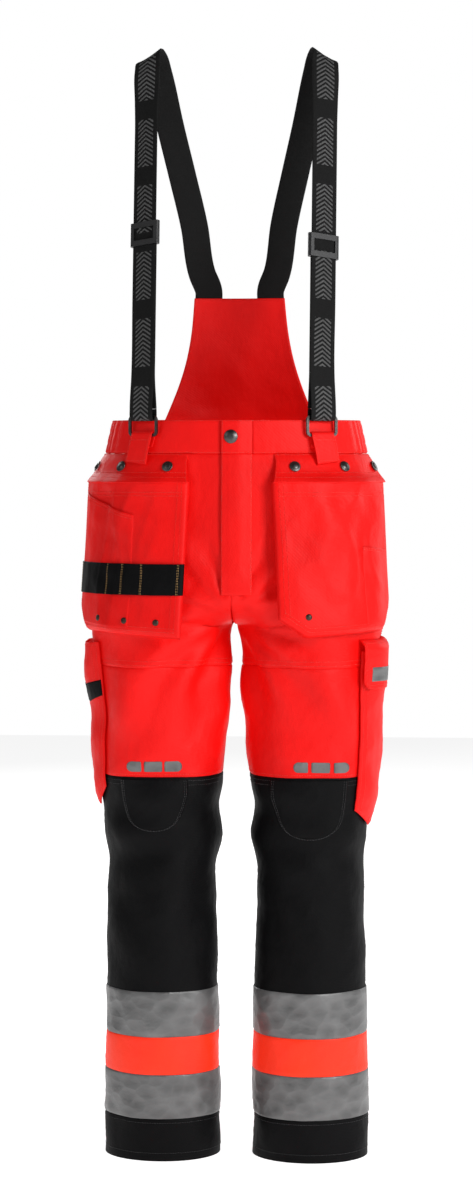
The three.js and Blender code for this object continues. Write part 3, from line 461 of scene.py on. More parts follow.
class Wardrobe:
    """Keeps one material for each finish."""

    def __init__(self) -> None:
        """Starts with no material made."""
        self._made: dict[str, bpy.types.Material] = {}

    def dress(self, piece: bpy.types.Object, finish: ClothFinish | ReflectiveFinish | HardFinish) -> None:
        """Gives a piece its finish.

        Args:
            piece: the object to dress.
            finish: the finish, whose material is made at its first use.
        """
        if finish.name not in self._made:
            self._made[finish.name] = finish.material()
        piece.data.materials.clear()
        piece.data.materials.append(self._made[finish.name])


WARDROBE = Wardrobe()


# ---------------------------------------------------------------- meshes


def mesh_object(name: str, points: Array, faces: Sequence[Sequence[int]] | Array) -> bpy.types.Object:
    """A smooth-shaded mesh object in the scene.

    Args:
        name: the object's name.
        points: an array of points, in metres.
        faces: corner numbers of each face.

    Returns:
        The new object.
    """
    mesh = bpy.data.meshes.new(name)
    corners = faces.tolist() if isinstance(faces, np.ndarray) else faces
    mesh.from_pydata(np.asarray(points, float).reshape(-1, 3).tolist(), [], corners)
    mesh.polygons.foreach_set("use_smooth", [True] * len(mesh.polygons))
    mesh.update()
    piece = bpy.data.objects.new(name, mesh)
    bpy.context.scene.collection.objects.link(piece)
    return piece


def grid_faces(rows: int, columns: int, wrap: bool = False, flip: bool = False) -> Array:
    """Corner numbers of a grid's faces, for points laid out row by row."""
    across = columns if wrap else columns - 1
    j, i = np.meshgrid(np.arange(rows - 1), np.arange(across), indexing="ij")
    after = (i + 1) % columns
    quads = np.stack(
        [j * columns + i, j * columns + after, (j + 1) * columns + after, (j + 1) * columns + i], -1
    )
    quads = quads.reshape(-1, 4)
    return quads[:, ::-1] if flip else quads


def cloth_sheet(name: str, grid: Array, thickness: float, out: Array, wrap: bool = False) -> bpy.types.Object:
    """A sheet of cloth from a grid of points on its outer face.

    Args:
        name: the object's name.
        grid: rows by columns by three, in metres.
        thickness: the cloth's thickness, which goes inwards.
        out: the way that the outer face looks, one direction or one for each point.
        wrap: whether the columns meet round a tube.

    Returns:
        The object, closed by a Solidify modifier.
    """
    rows, columns = grid.shape[:2]
    flip = float((grid_normals(grid, wrap) * out).sum(-1).mean()) < 0
    piece = mesh_object(name, grid, grid_faces(rows, columns, wrap, flip))
    solid = piece.modifiers.new("cloth", "SOLIDIFY")
    solid.thickness = thickness
    solid.offset = -1.0
    return piece


def grid_normals(grid: Array, wrap: bool = False) -> Array:
    """Unit normals of a grid, by its neighbours' differences."""
    if wrap:
        across = np.roll(grid, -1, 1) - np.roll(grid, 1, 1)
    else:
        across = np.gradient(grid, axis=1)
    along = np.gradient(grid, axis=0)
    normal = np.cross(across, along)
    return normal / np.maximum(np.linalg.norm(normal, axis=-1, keepdims=True), 1e-12)


def hermite(knots: Sequence[tuple[float, float]], x: Array) -> Array:
    """A smooth curve through knots that doesn't overshoot them.

    Args:
        knots: (place, value) pairs in rising order.
        x: where to read the curve.

    Returns:
        The curve's values at x.
    """
    places, values = (np.array(column, float) for column in zip(*knots))
    steps = np.diff(places)
    slopes = np.diff(values) / steps
    tangents = np.zeros_like(values)
    same = slopes[:-1] * slopes[1:] > 0
    tangents[1:-1][same] = 2.0 * (slopes[:-1] * slopes[1:])[same] / (slopes[:-1] + slopes[1:])[same]
    tangents[0], tangents[-1] = slopes[0], slopes[-1]
    x = np.clip(np.asarray(x, float), places[0], places[-1])
    k = np.clip(np.searchsorted(places, x) - 1, 0, len(steps) - 1)
    t = (x - places[k]) / steps[k]
    a, b = values[k], values[k + 1]
    ma, mb = tangents[k] * steps[k], tangents[k + 1] * steps[k]
    return (
        (2 * t**3 - 3 * t**2 + 1) * a + (t**3 - 2 * t**2 + t) * ma + (3 * t**2 - 2 * t**3) * b
        + (t**3 - t**2) * mb
    )


def edged(low: float, high: float, step: float, lip: float = 0.0025) -> Array:
    """Places from low to high, close together near both ends so that a seam can roll in."""
    count = max(2, int(round((high - low - 2 * lip) / step)))
    inner = np.linspace(low + lip, high - lip, count + 1)
    near = np.array([0.0, 0.3, 0.65]) * lip
    return np.concatenate([low + near, inner, (high - near)[::-1]])


def seam_roll(x: Array, low: float, high: float, depth: float = 0.0009, lip: float = 0.0025) -> Array:
    """How far cloth rolls in at its sewn edges."""
    near = np.minimum(np.asarray(x) - low, high - np.asarray(x))
    return depth * (1.0 - smoothstep(0.0, lip, near))


# ---------------------------------------------------------------- the garment's shape


@dataclass
class GarmentShape:
    """The outer surface of the trousers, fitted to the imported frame.

    The place on one half is (s, z): s runs from the centre back at 0 over the outseam at 1 to the centre
    front at 2, and below the crotch both ends meet at the inseam.
    """

    leg_centre: float = 0.108
    leg_width: tuple = (
        (0.0, 0.0845), (0.2, 0.0815), (0.403, 0.080), (0.559, 0.089), (0.717, 0.099), (0.776, 0.106)
    )
    leg_depth: tuple = ((0.0, 0.072), (0.403, 0.076), (0.559, 0.092), (0.717, 0.104), (0.776, 0.110))
    hip_width: tuple = ((0.776, 0.205), (0.88, 0.205), (0.96, 0.1985), (1.021, 0.190), (1.069, 0.1795))
    hip_depth: tuple = ((0.776, 0.132), (1.021, 0.1205), (1.069, 0.1183))
    crotch_curve: float = 0.044
    origin: tuple[float, float] = (0.0, 0.0)

    def fit_to_frame(self) -> None:
        """Puts the shape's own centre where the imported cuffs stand."""
        corners = [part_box(f"{side.word}_cuff") for side in Side]
        x = sum(low[0] + high[0] for low, high in corners) / 4.0
        y = sum(low[1] + high[1] for low, high in corners) / 4.0
        self.origin = (x, y)

    def at(self, side: Side, s: Array, z: Array) -> Array:
        """Points of the smooth surface.

        Args:
            side: the half of the garment.
            s: places round the half, from 0 to 2.
            z: heights, broadcast with s.

        Returns:
            An array of points.
        """
        s, z = np.broadcast_arrays(np.asarray(s, float), np.asarray(z, float))
        u = np.where(s <= 1.0, s, 2.0 - s)
        face = np.where(s <= 1.0, 1.0, -1.0)
        share = np.clip((z - LEVELS.crotch) / self.crotch_curve, 0.0, 1.0)
        hip = np.sqrt(share * (2.0 - share))
        leg_x = self.leg_centre - hermite(self.leg_width, z) * np.cos(u * math.pi)
        leg_y = face * hermite(self.leg_depth, z) * np.sin(u * math.pi)
        hip_x = hermite(self.hip_width, z) * np.sin(u * math.pi / 2)
        hip_y = face * hermite(self.hip_depth, z) * np.cos(u * math.pi / 2)
        x = (1 - hip) * leg_x + hip * hip_x
        y = (1 - hip) * leg_y + hip * hip_y
        return np.stack([side.value * x + self.origin[0], y + self.origin[1], z], -1)

    def front(self, x: Array, z: Array, proud: float | Array = 0.0) -> Array:
        """Points of the front above the crotch, at a distance from the centre line and off the surface."""
        x, z = np.broadcast_arrays(np.asarray(x, float), np.asarray(z, float))
        width, depth = hermite(self.hip_width, z), hermite(self.hip_depth, z)
        share = np.clip(x / width, -0.999, 0.999)
        y = -depth * np.sqrt(1 - share**2)
        normal = np.stack([x / width**2, y / depth**2, np.zeros_like(x)], -1)
        normal /= np.linalg.norm(normal, axis=-1, keepdims=True)
        point = np.stack([x + self.origin[0], y + self.origin[1], z], -1)
        return point + normal * np.asarray(proud)[..., None]

    def round_waist(self, angle: Array, z: Array, proud: float | Array = 0.0) -> Array:
        """Points round the waist: the angle is 0 at the centre front and grows to the wearer's left."""
        angle, z = np.broadcast_arrays(np.asarray(angle, float), np.asarray(z, float))
        width, depth = hermite(self.hip_width, z), hermite(self.hip_depth, z)
        point = np.stack([width * np.sin(angle), -depth * np.cos(angle), np.zeros_like(z)], -1)
        normal = np.stack([np.sin(angle) / width, -np.cos(angle) / depth, np.zeros_like(z)], -1)
        normal /= np.linalg.norm(normal, axis=-1, keepdims=True)
        point = point + normal * np.asarray(proud)[..., None]
        return point + np.stack([np.full_like(z, self.origin[0]), np.full_like(z, self.origin[1]), z], -1)

    def front_place(self, x: Array, z: Array) -> Array:
        """The place s on a leg's front at a distance from the centre line."""
        width = hermite(self.leg_width, z)
        return 2.0 - np.arccos(np.clip((self.leg_centre - np.asarray(x)) / width, -1.0, 1.0)) / math.pi


SHAPE = GarmentShape()


class FoldKind(Enum):
    """The kinds of folds that the cloth shows."""

    CRUMPLE = 11
    DRAPE = 23
    GATHER = 37
    CREASE = 51


NOISE = {kind: FoldNoise(kind.value) for kind in FoldKind}


@dataclass
class Folds:
    """Folds of the worn cloth, as a distance in or out of the smooth surface."""

    crumple: float = 0.0022
    drape: float = 0.0042
    knee: float = 0.0042
    whisker: float = 0.0036
    gather: float = 0.0022

    def depth(self, side: Side, points: Array) -> Array:
        """How far each point stands off the smooth surface.

        Args:
            side: the half of the garment.
            points: points of the smooth surface.

        Returns:
            Distances along the outward normal.
        """
        x = (points[..., 0] - SHAPE.origin[0]) * side.value
        y = points[..., 1] - SHAPE.origin[1]
        z = points[..., 2]
        own = points + np.array([0.37 * side.value, 0.0, 0.0])
        crumple = NOISE[FoldKind.CRUMPLE].at(own, 0.075, (1, 1, 0.8))
        fine = NOISE[FoldKind.CREASE].at(own, 0.034, (1, 1, 1.2))
        out = self.crumple * (0.6 * crumple + 0.3 * ridges(fine, 3.0))
        thigh = smoothstep(0.56, 0.68, z) * (1 - smoothstep(0.80, 0.90, z))
        slant = NOISE[FoldKind.DRAPE].at(np.stack([x * 0.9 + z * 0.35, y * 0.8, z * 0.25], -1), 0.085)
        out += self.drape * thigh * slant
        inner = bump(0.0, 0.09, x) * bump(0.74, 0.10, z)
        out += self.drape * 0.5 * inner * np.sin(
            (z * 0.8 + np.abs(x) * 1.1) * 2 * math.pi / 0.062 + side.value
        )
        reach = np.hypot(x, z - 0.785)
        angle = np.arctan2(z - 0.785, np.maximum(x, 1e-4))
        whiskers = np.sin(angle * 13.0 + reach * 18.0 + 0.9 * side.value)
        out += self.whisker * whiskers * bump(0.085, 0.07, reach) * smoothstep(0.02, 0.05, reach) * (y < 0)
        knee = bump(0.50, 0.10, z)
        lines = NOISE[FoldKind.DRAPE].at(np.stack([x * 0.5, y * 0.5, z * 1.5 + x * 0.4], -1) + 5.0, 0.10)
        out += self.knee * knee * lines
        shin = bump(0.33, 0.09, z)
        out += self.knee * 0.8 * shin * NOISE[FoldKind.GATHER].at(
            np.stack([x, y, z * 0.35 + x * 0.3], -1), 0.11
        )
        front = (y < 0) * smoothstep(0.775, 0.80, z)
        covered = front * np.maximum(1 - smoothstep(0.04, 0.06, x), smoothstep(0.065, 0.08, x))
        out = out * (1 - covered) + covered * np.minimum(out, -0.0002)
        out *= smoothstep(0.0, 0.02, z)
        sides = smoothstep(0.09, 0.15, x)
        around = np.arctan2(y, x)
        pleat = np.sin(around * 46.0 + 2.0 * np.sin(z * 60.0) + side.value)
        out += self.gather * sides * smoothstep(0.99, 1.03, z) * pleat * (0.6 + 0.4 * crumple)
        return out


FOLDS = Folds()


def worn(side: Side, s: Array, z: Array, proud: float | Array = 0.0) -> Array:
    """Points of the worn surface, folds included.

    Args:
        side: the half of the garment.
        s: places round the half.
        z: heights, broadcast with s.
        proud: how far off the surface, along its normal.

    Returns:
        A grid of points.
    """
    smooth = SHAPE.at(side, s, z)
    step = 1e-3
    across = SHAPE.at(side, s + step, z) - SHAPE.at(side, s - step, z)
    along = SHAPE.at(side, s, z + step) - SHAPE.at(side, s, z - step)
    normal = np.cross(across, along) * -side.value
    normal /= np.maximum(np.linalg.norm(normal, axis=-1, keepdims=True), 1e-12)
    return smooth + normal * (FOLDS.depth(side, smooth) + proud)[..., None]


@dataclass(frozen=True)
class Zone:
    """One sewn panel of a trouser half."""

    name: str
    low: float
    high: float
    start: float
    end: float
    finish: ClothFinish | ReflectiveFinish
    proud: float = 0.0
    cloth: float = 0.0016

    @property
    def wrap(self) -> bool:
        """Whether the panel goes all the way round the leg."""
        return self.end - self.start >= 2.0


class Trousers:
    """Both trouser legs and the hips, as sewn panels."""

    def __init__(self, step: float = 0.005) -> None:
        """Names the panels.

        Args:
            step: the distance between points, in metres.
        """
        self.step = step
        hem = LEVELS.cuff
        self.zones = [
            Zone("hip_front", LEVELS.thigh, LEVELS.band, 1.0, 2.0, RED),
            Zone("thigh_front", LEVELS.knee, LEVELS.thigh, 1.0, 2.0, RED),
            Zone("back_panel", LEVELS.knee, LEVELS.band, 0.0, 1.0, RED),
            Zone("knee_front", hem, LEVELS.knee, 1.0, 2.0, BLACK),
            Zone("calf_back", hem, LEVELS.knee, 0.0, 1.0, BLACK),
            Zone("upper_tape", LEVELS.orange, LEVELS.upper_tape, 0.0, 2.0, TAPE, 0.0016, 0.001),
            Zone("orange_band", LEVELS.lower_tape, LEVELS.orange, 0.0, 2.0, ORANGE, 0.0014, 0.0008),
            Zone("lower_tape", LEVELS.cuff, LEVELS.lower_tape, 0.0, 2.0, TAPE, 0.0016, 0.001),
            Zone("cuff", 0.0, LEVELS.cuff, 0.0, 2.0, BLACK, 0.0, 0.003),
        ]

    def panel(self, side: Side, zone: Zone) -> bpy.types.Object:
        """Builds one panel, with its sewn edges rolled in.

        Args:
            side: the half of the garment.
            zone: the panel.

        Returns:
            The panel's object, riding on the root body.
        """
        heights = edged(zone.low, zone.high, self.step)
        around = 0.33 if zone.low >= LEVELS.knee else 0.26
        if zone.wrap:
            places = np.linspace(0.0, 2.0, int(2 * around / self.step) + 1)[:-1]
            side_roll = np.zeros_like(places)
        else:
            lip = 0.0025 / around
            places = edged(zone.start, zone.end, self.step / around, lip)
            side_roll = seam_roll(places, zone.start, zone.end, 0.0009, lip)
        roll = seam_roll(heights, zone.low, zone.high)[:, None] + side_roll[None, :]
        if zone.name == "cuff":
            roll = roll * smoothstep(0.0, 0.03, heights)[:, None]
        grid = worn(side, places[None, :], heights[:, None], zone.proud - roll)
        out = grid - np.array([side.value * SHAPE.leg_centre * (zone.high < LEVELS.crotch), 0.0, 0.0])
        out[..., 2] = 0.0
        piece = cloth_sheet(f"{side.word}_{zone.name}_cloth", grid, zone.cloth, out, zone.wrap)
        WARDROBE.dress(piece, zone.finish)
        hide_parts(f"{side.word}_{zone.name}")
        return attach(piece, "root")

    def build(self) -> None:
        """Builds every panel of both halves."""
        for side in Side:
            for zone in self.zones:
                piece = self.panel(side, zone)
                log.info("panel %s: %d points", piece.name, len(piece.data.vertices))


# ---------------------------------------------------------------- thread, webbing and buttons


def unit(vectors: Array) -> Array:
    """Vectors of length one."""
    return vectors / np.maximum(np.linalg.norm(vectors, axis=-1, keepdims=True), 1e-12)


def smooth_path(points: Array, step: float) -> Array:
    """Evenly spaced places on a smooth curve.

    Args:
        points: the curve's points, whose first three numbers are a place and whose others go along.
        step: the distance between the places, in metres.

    Returns:
        Rows like those of points.
    """
    points = np.asarray(points, float)
    reach = np.concatenate([[0.0], np.cumsum(np.linalg.norm(np.diff(points[:, :3], axis=0), axis=1))])
    slopes = np.gradient(points, reach, axis=0)
    places = np.linspace(0.0, reach[-1], max(2, int(reach[-1] / step) + 1))
    k = np.clip(np.searchsorted(reach, places, side="right") - 1, 0, len(reach) - 2)
    gap = (reach[k + 1] - reach[k])[:, None]
    t = (places - reach[k])[:, None] / gap
    start = (2 * t**3 - 3 * t**2 + 1) * points[k] + (t**3 - 2 * t**2 + t) * slopes[k] * gap
    end = (3 * t**2 - 2 * t**3) * points[k + 1] + (t**3 - t**2) * slopes[k + 1] * gap
    return start + end


class Thread:
    """Topstitching, gathered from many seams into one piece for each body."""

    def __init__(self, pitch: float = 0.0036, radius: float = 0.00042) -> None:
        """Starts with no stitch sewn.

        Args:
            pitch: the distance from one stitch to the next.
            radius: half the thread's width.
        """
        self.pitch = pitch
        self.radius = radius
        self.points: list[Array] = []
        self.faces: list[Array] = []
        self.count = 0

    def sew(self, path: Array, out: Array) -> None:
        """Sews a row of stitches.

        Args:
            path: the seam's points on the cloth's outer face.
            out: the way that the cloth faces, one direction or one for each point.
        """
        path = np.asarray(path, float)
        row = smooth_path(np.concatenate([path, np.broadcast_to(out, path.shape)], -1), self.pitch)
        place, normal = row[:, :3], unit(row[:, 3:])
        middle = 0.5 * (place[1:] + place[:-1])
        along = place[1:] - place[:-1]
        normal = unit(normal[1:] + normal[:-1])
        across = unit(np.cross(along, normal))
        middle = middle + normal * self.radius * 0.4
        ring = [across, normal, -across, -0.6 * normal]
        corners = [middle - 0.42 * along] + [middle + self.radius * v for v in ring] + [middle + 0.42 * along]
        block = np.stack(corners, 1)
        base = self.count + np.arange(len(block))[:, None, None] * 6
        sides = np.array(
            [(0, 1 + (k + 1) % 4, 1 + k) for k in range(4)] + [(5, 1 + k, 1 + (k + 1) % 4) for k in range(4)]
        )
        self.points.append(block.reshape(-1, 3))
        self.faces.append((base + sides[None]).reshape(-1, 3))
        self.count += block.shape[0] * 6

    def piece(self, name: str, finish: ClothFinish, body: str) -> bpy.types.Object:
        """Makes the gathered stitches into one piece.

        Args:
            name: the piece's name.
            finish: the thread's finish.
            body: the body that it rides on.

        Returns:
            The piece.
        """
        threads = mesh_object(name, np.concatenate(self.points), np.concatenate(self.faces))
        WARDROBE.dress(threads, finish)
        log.info("thread %s: %d stitches", name, self.count // 6)
        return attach(threads, body)


def grid_row(grid: Array, row: float, start: float = 0.0, end: float = 1.0) -> Array:
    """Points along a grid's row at a share of its height, between two shares of its width."""
    rows, columns = grid.shape[:2]
    j = row * (rows - 1)
    low, share = int(min(j, rows - 2)), j - int(min(j, rows - 2))
    line = grid[low] * (1 - share) + grid[low + 1] * share
    first, last = int(round(start * (columns - 1))), int(round(end * (columns - 1)))
    return line[first : last + 1]


def grid_column(grid: Array, column: float, start: float = 0.0, end: float = 1.0) -> Array:
    """Points up a grid's column at a share of its width, between two shares of its height."""
    return grid_row(grid.transpose(1, 0, 2), column, start, end)


def ribbon(
    name: str, stations: Array, width: float, thickness: float, step: float = 0.004
) -> bpy.types.Object:
    """A flat webbing along stations, with rounded edges and closed ends.

    Args:
        name: the object's name.
        stations: rows of a centre and a vector across the width.
        width: the webbing's width.
        thickness: its thickness.
        step: the distance between its rows of points.

    Returns:
        The object, with the float attributes along (metres), across (-1 to 1) and face (1 outside).
    """
    path = smooth_path(stations, step)
    centre = path[:, :3]
    tangent = unit(np.gradient(centre, axis=0))
    across = path[:, 3:]
    across = unit(across - (across * tangent).sum(-1, keepdims=True) * tangent)
    normal = np.cross(across, tangent)
    offsets = np.sin(np.linspace(-math.pi / 2, math.pi / 2, 13))
    half = thickness / 2 * np.sqrt(np.clip(1 - np.abs(offsets) ** 14, 0, 1))
    top = [(o, h) for o, h in zip(offsets, half)]
    under = [(o, -h) for o, h in zip(offsets[::-1][1:-1], half[::-1][1:-1])]
    section = np.array(top + under)
    grid = (
        centre[:, None]
        + across[:, None] * (section[None, :, :1] * width / 2)
        + normal[:, None] * section[None, :, 1:]
    )
    rows, columns = grid.shape[:2]
    faces = grid_faces(rows, columns, wrap=True).tolist()
    faces += [list(range(columns))[::-1], [(rows - 1) * columns + i for i in range(columns)]]
    piece = mesh_object(name, grid, faces)
    along = np.concatenate([[0.0], np.cumsum(np.linalg.norm(np.diff(centre, axis=0), axis=1))])
    values = {
        "along": np.repeat(along, columns),
        "across": np.tile(section[:, 0], rows),
        "face": np.tile(np.sign(section[:, 1] + 1e-9), rows),
    }
    for key, numbers in values.items():
        layer = piece.data.attributes.new(key, "FLOAT", "POINT")
        layer.data.foreach_set("value", numbers.astype(np.float32))
    mend_normals(piece)
    return piece


def mend_normals(piece: bpy.types.Object) -> None:
    """Turns all faces of a closed mesh outwards."""
    work = bmesh.new()
    work.from_mesh(piece.data)
    bmesh.ops.recalc_face_normals(work, faces=work.faces)
    work.to_mesh(piece.data)
    work.free()


class ButtonKind(Enum):
    """Turned profiles, as shares of the radius and of the height from the cloth up."""

    CAP = (
        (0, 0), (0.94, 0), (1, 0.12), (1, 0.3), (0.95, 0.46), (0.84, 0.5), (0.76, 0.62), (0.55, 0.9),
        (0.25, 0.99), (0, 1)
    )
    SNAP = (
        (0, 0), (0.95, 0), (1, 0.15), (0.98, 0.4), (0.9, 0.55), (0.72, 0.5), (0.62, 0.62), (0.5, 0.9),
        (0.2, 1), (0, 1)
    )
    RIVET = ((0, 0), (0.96, 0), (1, 0.2), (0.9, 0.55), (0.6, 0.85), (0.3, 0.98), (0, 1))


def button(node: str, kind: ButtonKind, finish: HardFinish, body: str) -> bpy.types.Object:
    """A turned metal button in the place of a packed one.

    Args:
        node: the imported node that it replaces.
        kind: its profile.
        finish: its metal.
        body: the body that it rides on.

    Returns:
        The button.
    """
    mesh = FRAME["nodes"][node].data
    points = np.array([v.co[:] for v in mesh.vertices])
    centre = points.mean(0)
    _, _, axes = np.linalg.svd(points - centre)
    normal = axes[2] * (1 if axes[2] @ (centre * (1, 1, 0)) > 0 else -1)
    rise = (points - centre) @ normal
    flat = (points - centre) - rise[:, None] * normal
    radius = np.linalg.norm(flat, axis=1).max()
    base = centre + normal * rise.min()
    first = unit(np.cross(normal, (0.0, 0.0, 1.0)))
    second = np.cross(normal, first)
    height = rise.max() - rise.min()
    turns = np.linspace(0, 2 * math.pi, 33)[:-1]
    ring = first * np.cos(turns)[:, None] + second * np.sin(turns)[:, None]
    grid = np.array([base + ring * r * radius + normal * h * height for r, h in kind.value])
    piece = mesh_object(f"{node}_turned", grid, grid_faces(len(kind.value), len(turns), wrap=True))
    work = bmesh.new()
    work.from_mesh(piece.data)
    bmesh.ops.remove_doubles(work, verts=work.verts, dist=1e-6)
    bmesh.ops.recalc_face_normals(work, faces=work.faces)
    work.to_mesh(piece.data)
    work.free()
    WARDROBE.dress(piece, finish)
    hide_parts(node)
    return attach(piece, body)


def keep_hard(node: str, finish: HardFinish, bevel: float) -> None:
    """Keeps a packed hard node, with softened edges and its own finish."""
    piece = FRAME["nodes"][node]
    rounding = piece.modifiers.new("edges", "BEVEL")
    rounding.width = bevel
    rounding.segments = 3
    rounding.limit_method = "ANGLE"
    rounding.angle_limit = math.radians(35)
    rounding.harden_normals = True
    WARDROBE.dress(piece, finish)


# ---------------------------------------------------------------- waist


@dataclass
class Waistband:
    """The waistband: two fronts, the back and the overlap that closes with a snap."""

    cloth: float = 0.0028
    free_edge: float = -0.014
    hinge: float = 0.030
    overlap_room: float = 0.0042
    gather: float = 0.0016

    def heights(self) -> Array:
        """Rows from the lower edge to the upper one."""
        return edged(LEVELS.band, LEVELS.waist - 0.0004, 0.004)

    def angle(self, x: float) -> float:
        """The angle round the waist of a place on the front."""
        return math.asin(x / 0.190)

    def depth(self, angle: Array, heights: Array) -> Array:
        """Elastic gathers round the sides and the back."""
        stretch = smoothstep(0.55, 0.85, np.abs(np.sin(angle / 2)) * 1.25)[None, :]
        wave = np.sin(angle * 52.0 + 1.7 * np.sin(angle * 9.0))[None, :]
        cords = np.cos((heights[:, None] - LEVELS.band) / 0.0145 * 2 * math.pi)
        roll = seam_roll(heights, heights[0], heights[-1])[:, None]
        return self.gather * stretch * (wave - 0.6) * 0.6 - 0.0006 * stretch * (cords > 0.7) - roll

    def stretch_of(self, name: str, start: float, end: float, thread: Thread) -> bpy.types.Object:
        """One stretch of the band between two angles.

        Args:
            name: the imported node's name.
            start: the angle where it starts.
            end: the angle where it ends.
            thread: the thread that sews its edges.

        Returns:
            The piece.
        """
        heights = self.heights()
        angles = np.linspace(start, end, max(12, int(abs(end - start) * 0.15 / 0.0025)))
        grid = SHAPE.round_waist(angles[None, :], heights[:, None], self.depth(angles, heights))
        out = grid * np.array([1, 1, 0])
        piece = cloth_sheet(f"{name}_cloth", grid, self.cloth, out)
        WARDROBE.dress(piece, RED)
        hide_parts(name)
        for row in (0.12, 0.9):
            line = grid_row(grid, row)
            thread.sew(line, unit(line * (1, 1, 0)))
        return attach(piece, "root")

    def overlap(self) -> bpy.types.Object:
        """The overlap, which opens with the fly."""
        heights = self.heights()
        x = edged(self.free_edge, self.hinge, 0.004)
        roll = seam_roll(heights, heights[0], heights[-1])[:, None] + seam_roll(x, x[0], x[-1])[None, :]
        lift = self.overlap_room * (1 - 0.9 * smoothstep(0.008, self.hinge, x))[None, :]
        grid = SHAPE.front(x[None, :], heights[:, None], lift + 0.0004 - roll)
        piece = cloth_sheet("waist_overlap_cloth", grid, 0.0019, np.array([0, -1, 0]))
        WARDROBE.dress(piece, RED)
        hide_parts("waist_overlap")
        thread = Thread()
        front = np.array([0.0, -1.0, 0.0])
        for row in (0.12, 0.9):
            thread.sew(grid_row(grid, row), front)
        thread.sew(grid_column(grid, 0.16), front)
        thread.piece("waist_overlap_thread", RED_THREAD, "fly")
        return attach(piece, "fly")

    def build(self) -> None:
        """Builds the band, its stitches and its snap."""
        thread = Thread()
        side = math.pi / 2
        self.stretch_of("right_waistband", -side, self.angle(self.free_edge), thread)
        self.stretch_of("left_waistband", self.angle(self.hinge + 0.0004), side, thread)
        self.stretch_of("back_waistband", side, 2 * math.pi - side, thread)
        thread.piece("waistband_thread", RED_THREAD, "root")
        self.overlap()
        button("waist_snap_cap", ButtonKind.CAP, GUNMETAL, "fly")
        button("waist_snap_stud", ButtonKind.SNAP, GUNMETAL, "root")
        log.info("waistband built")


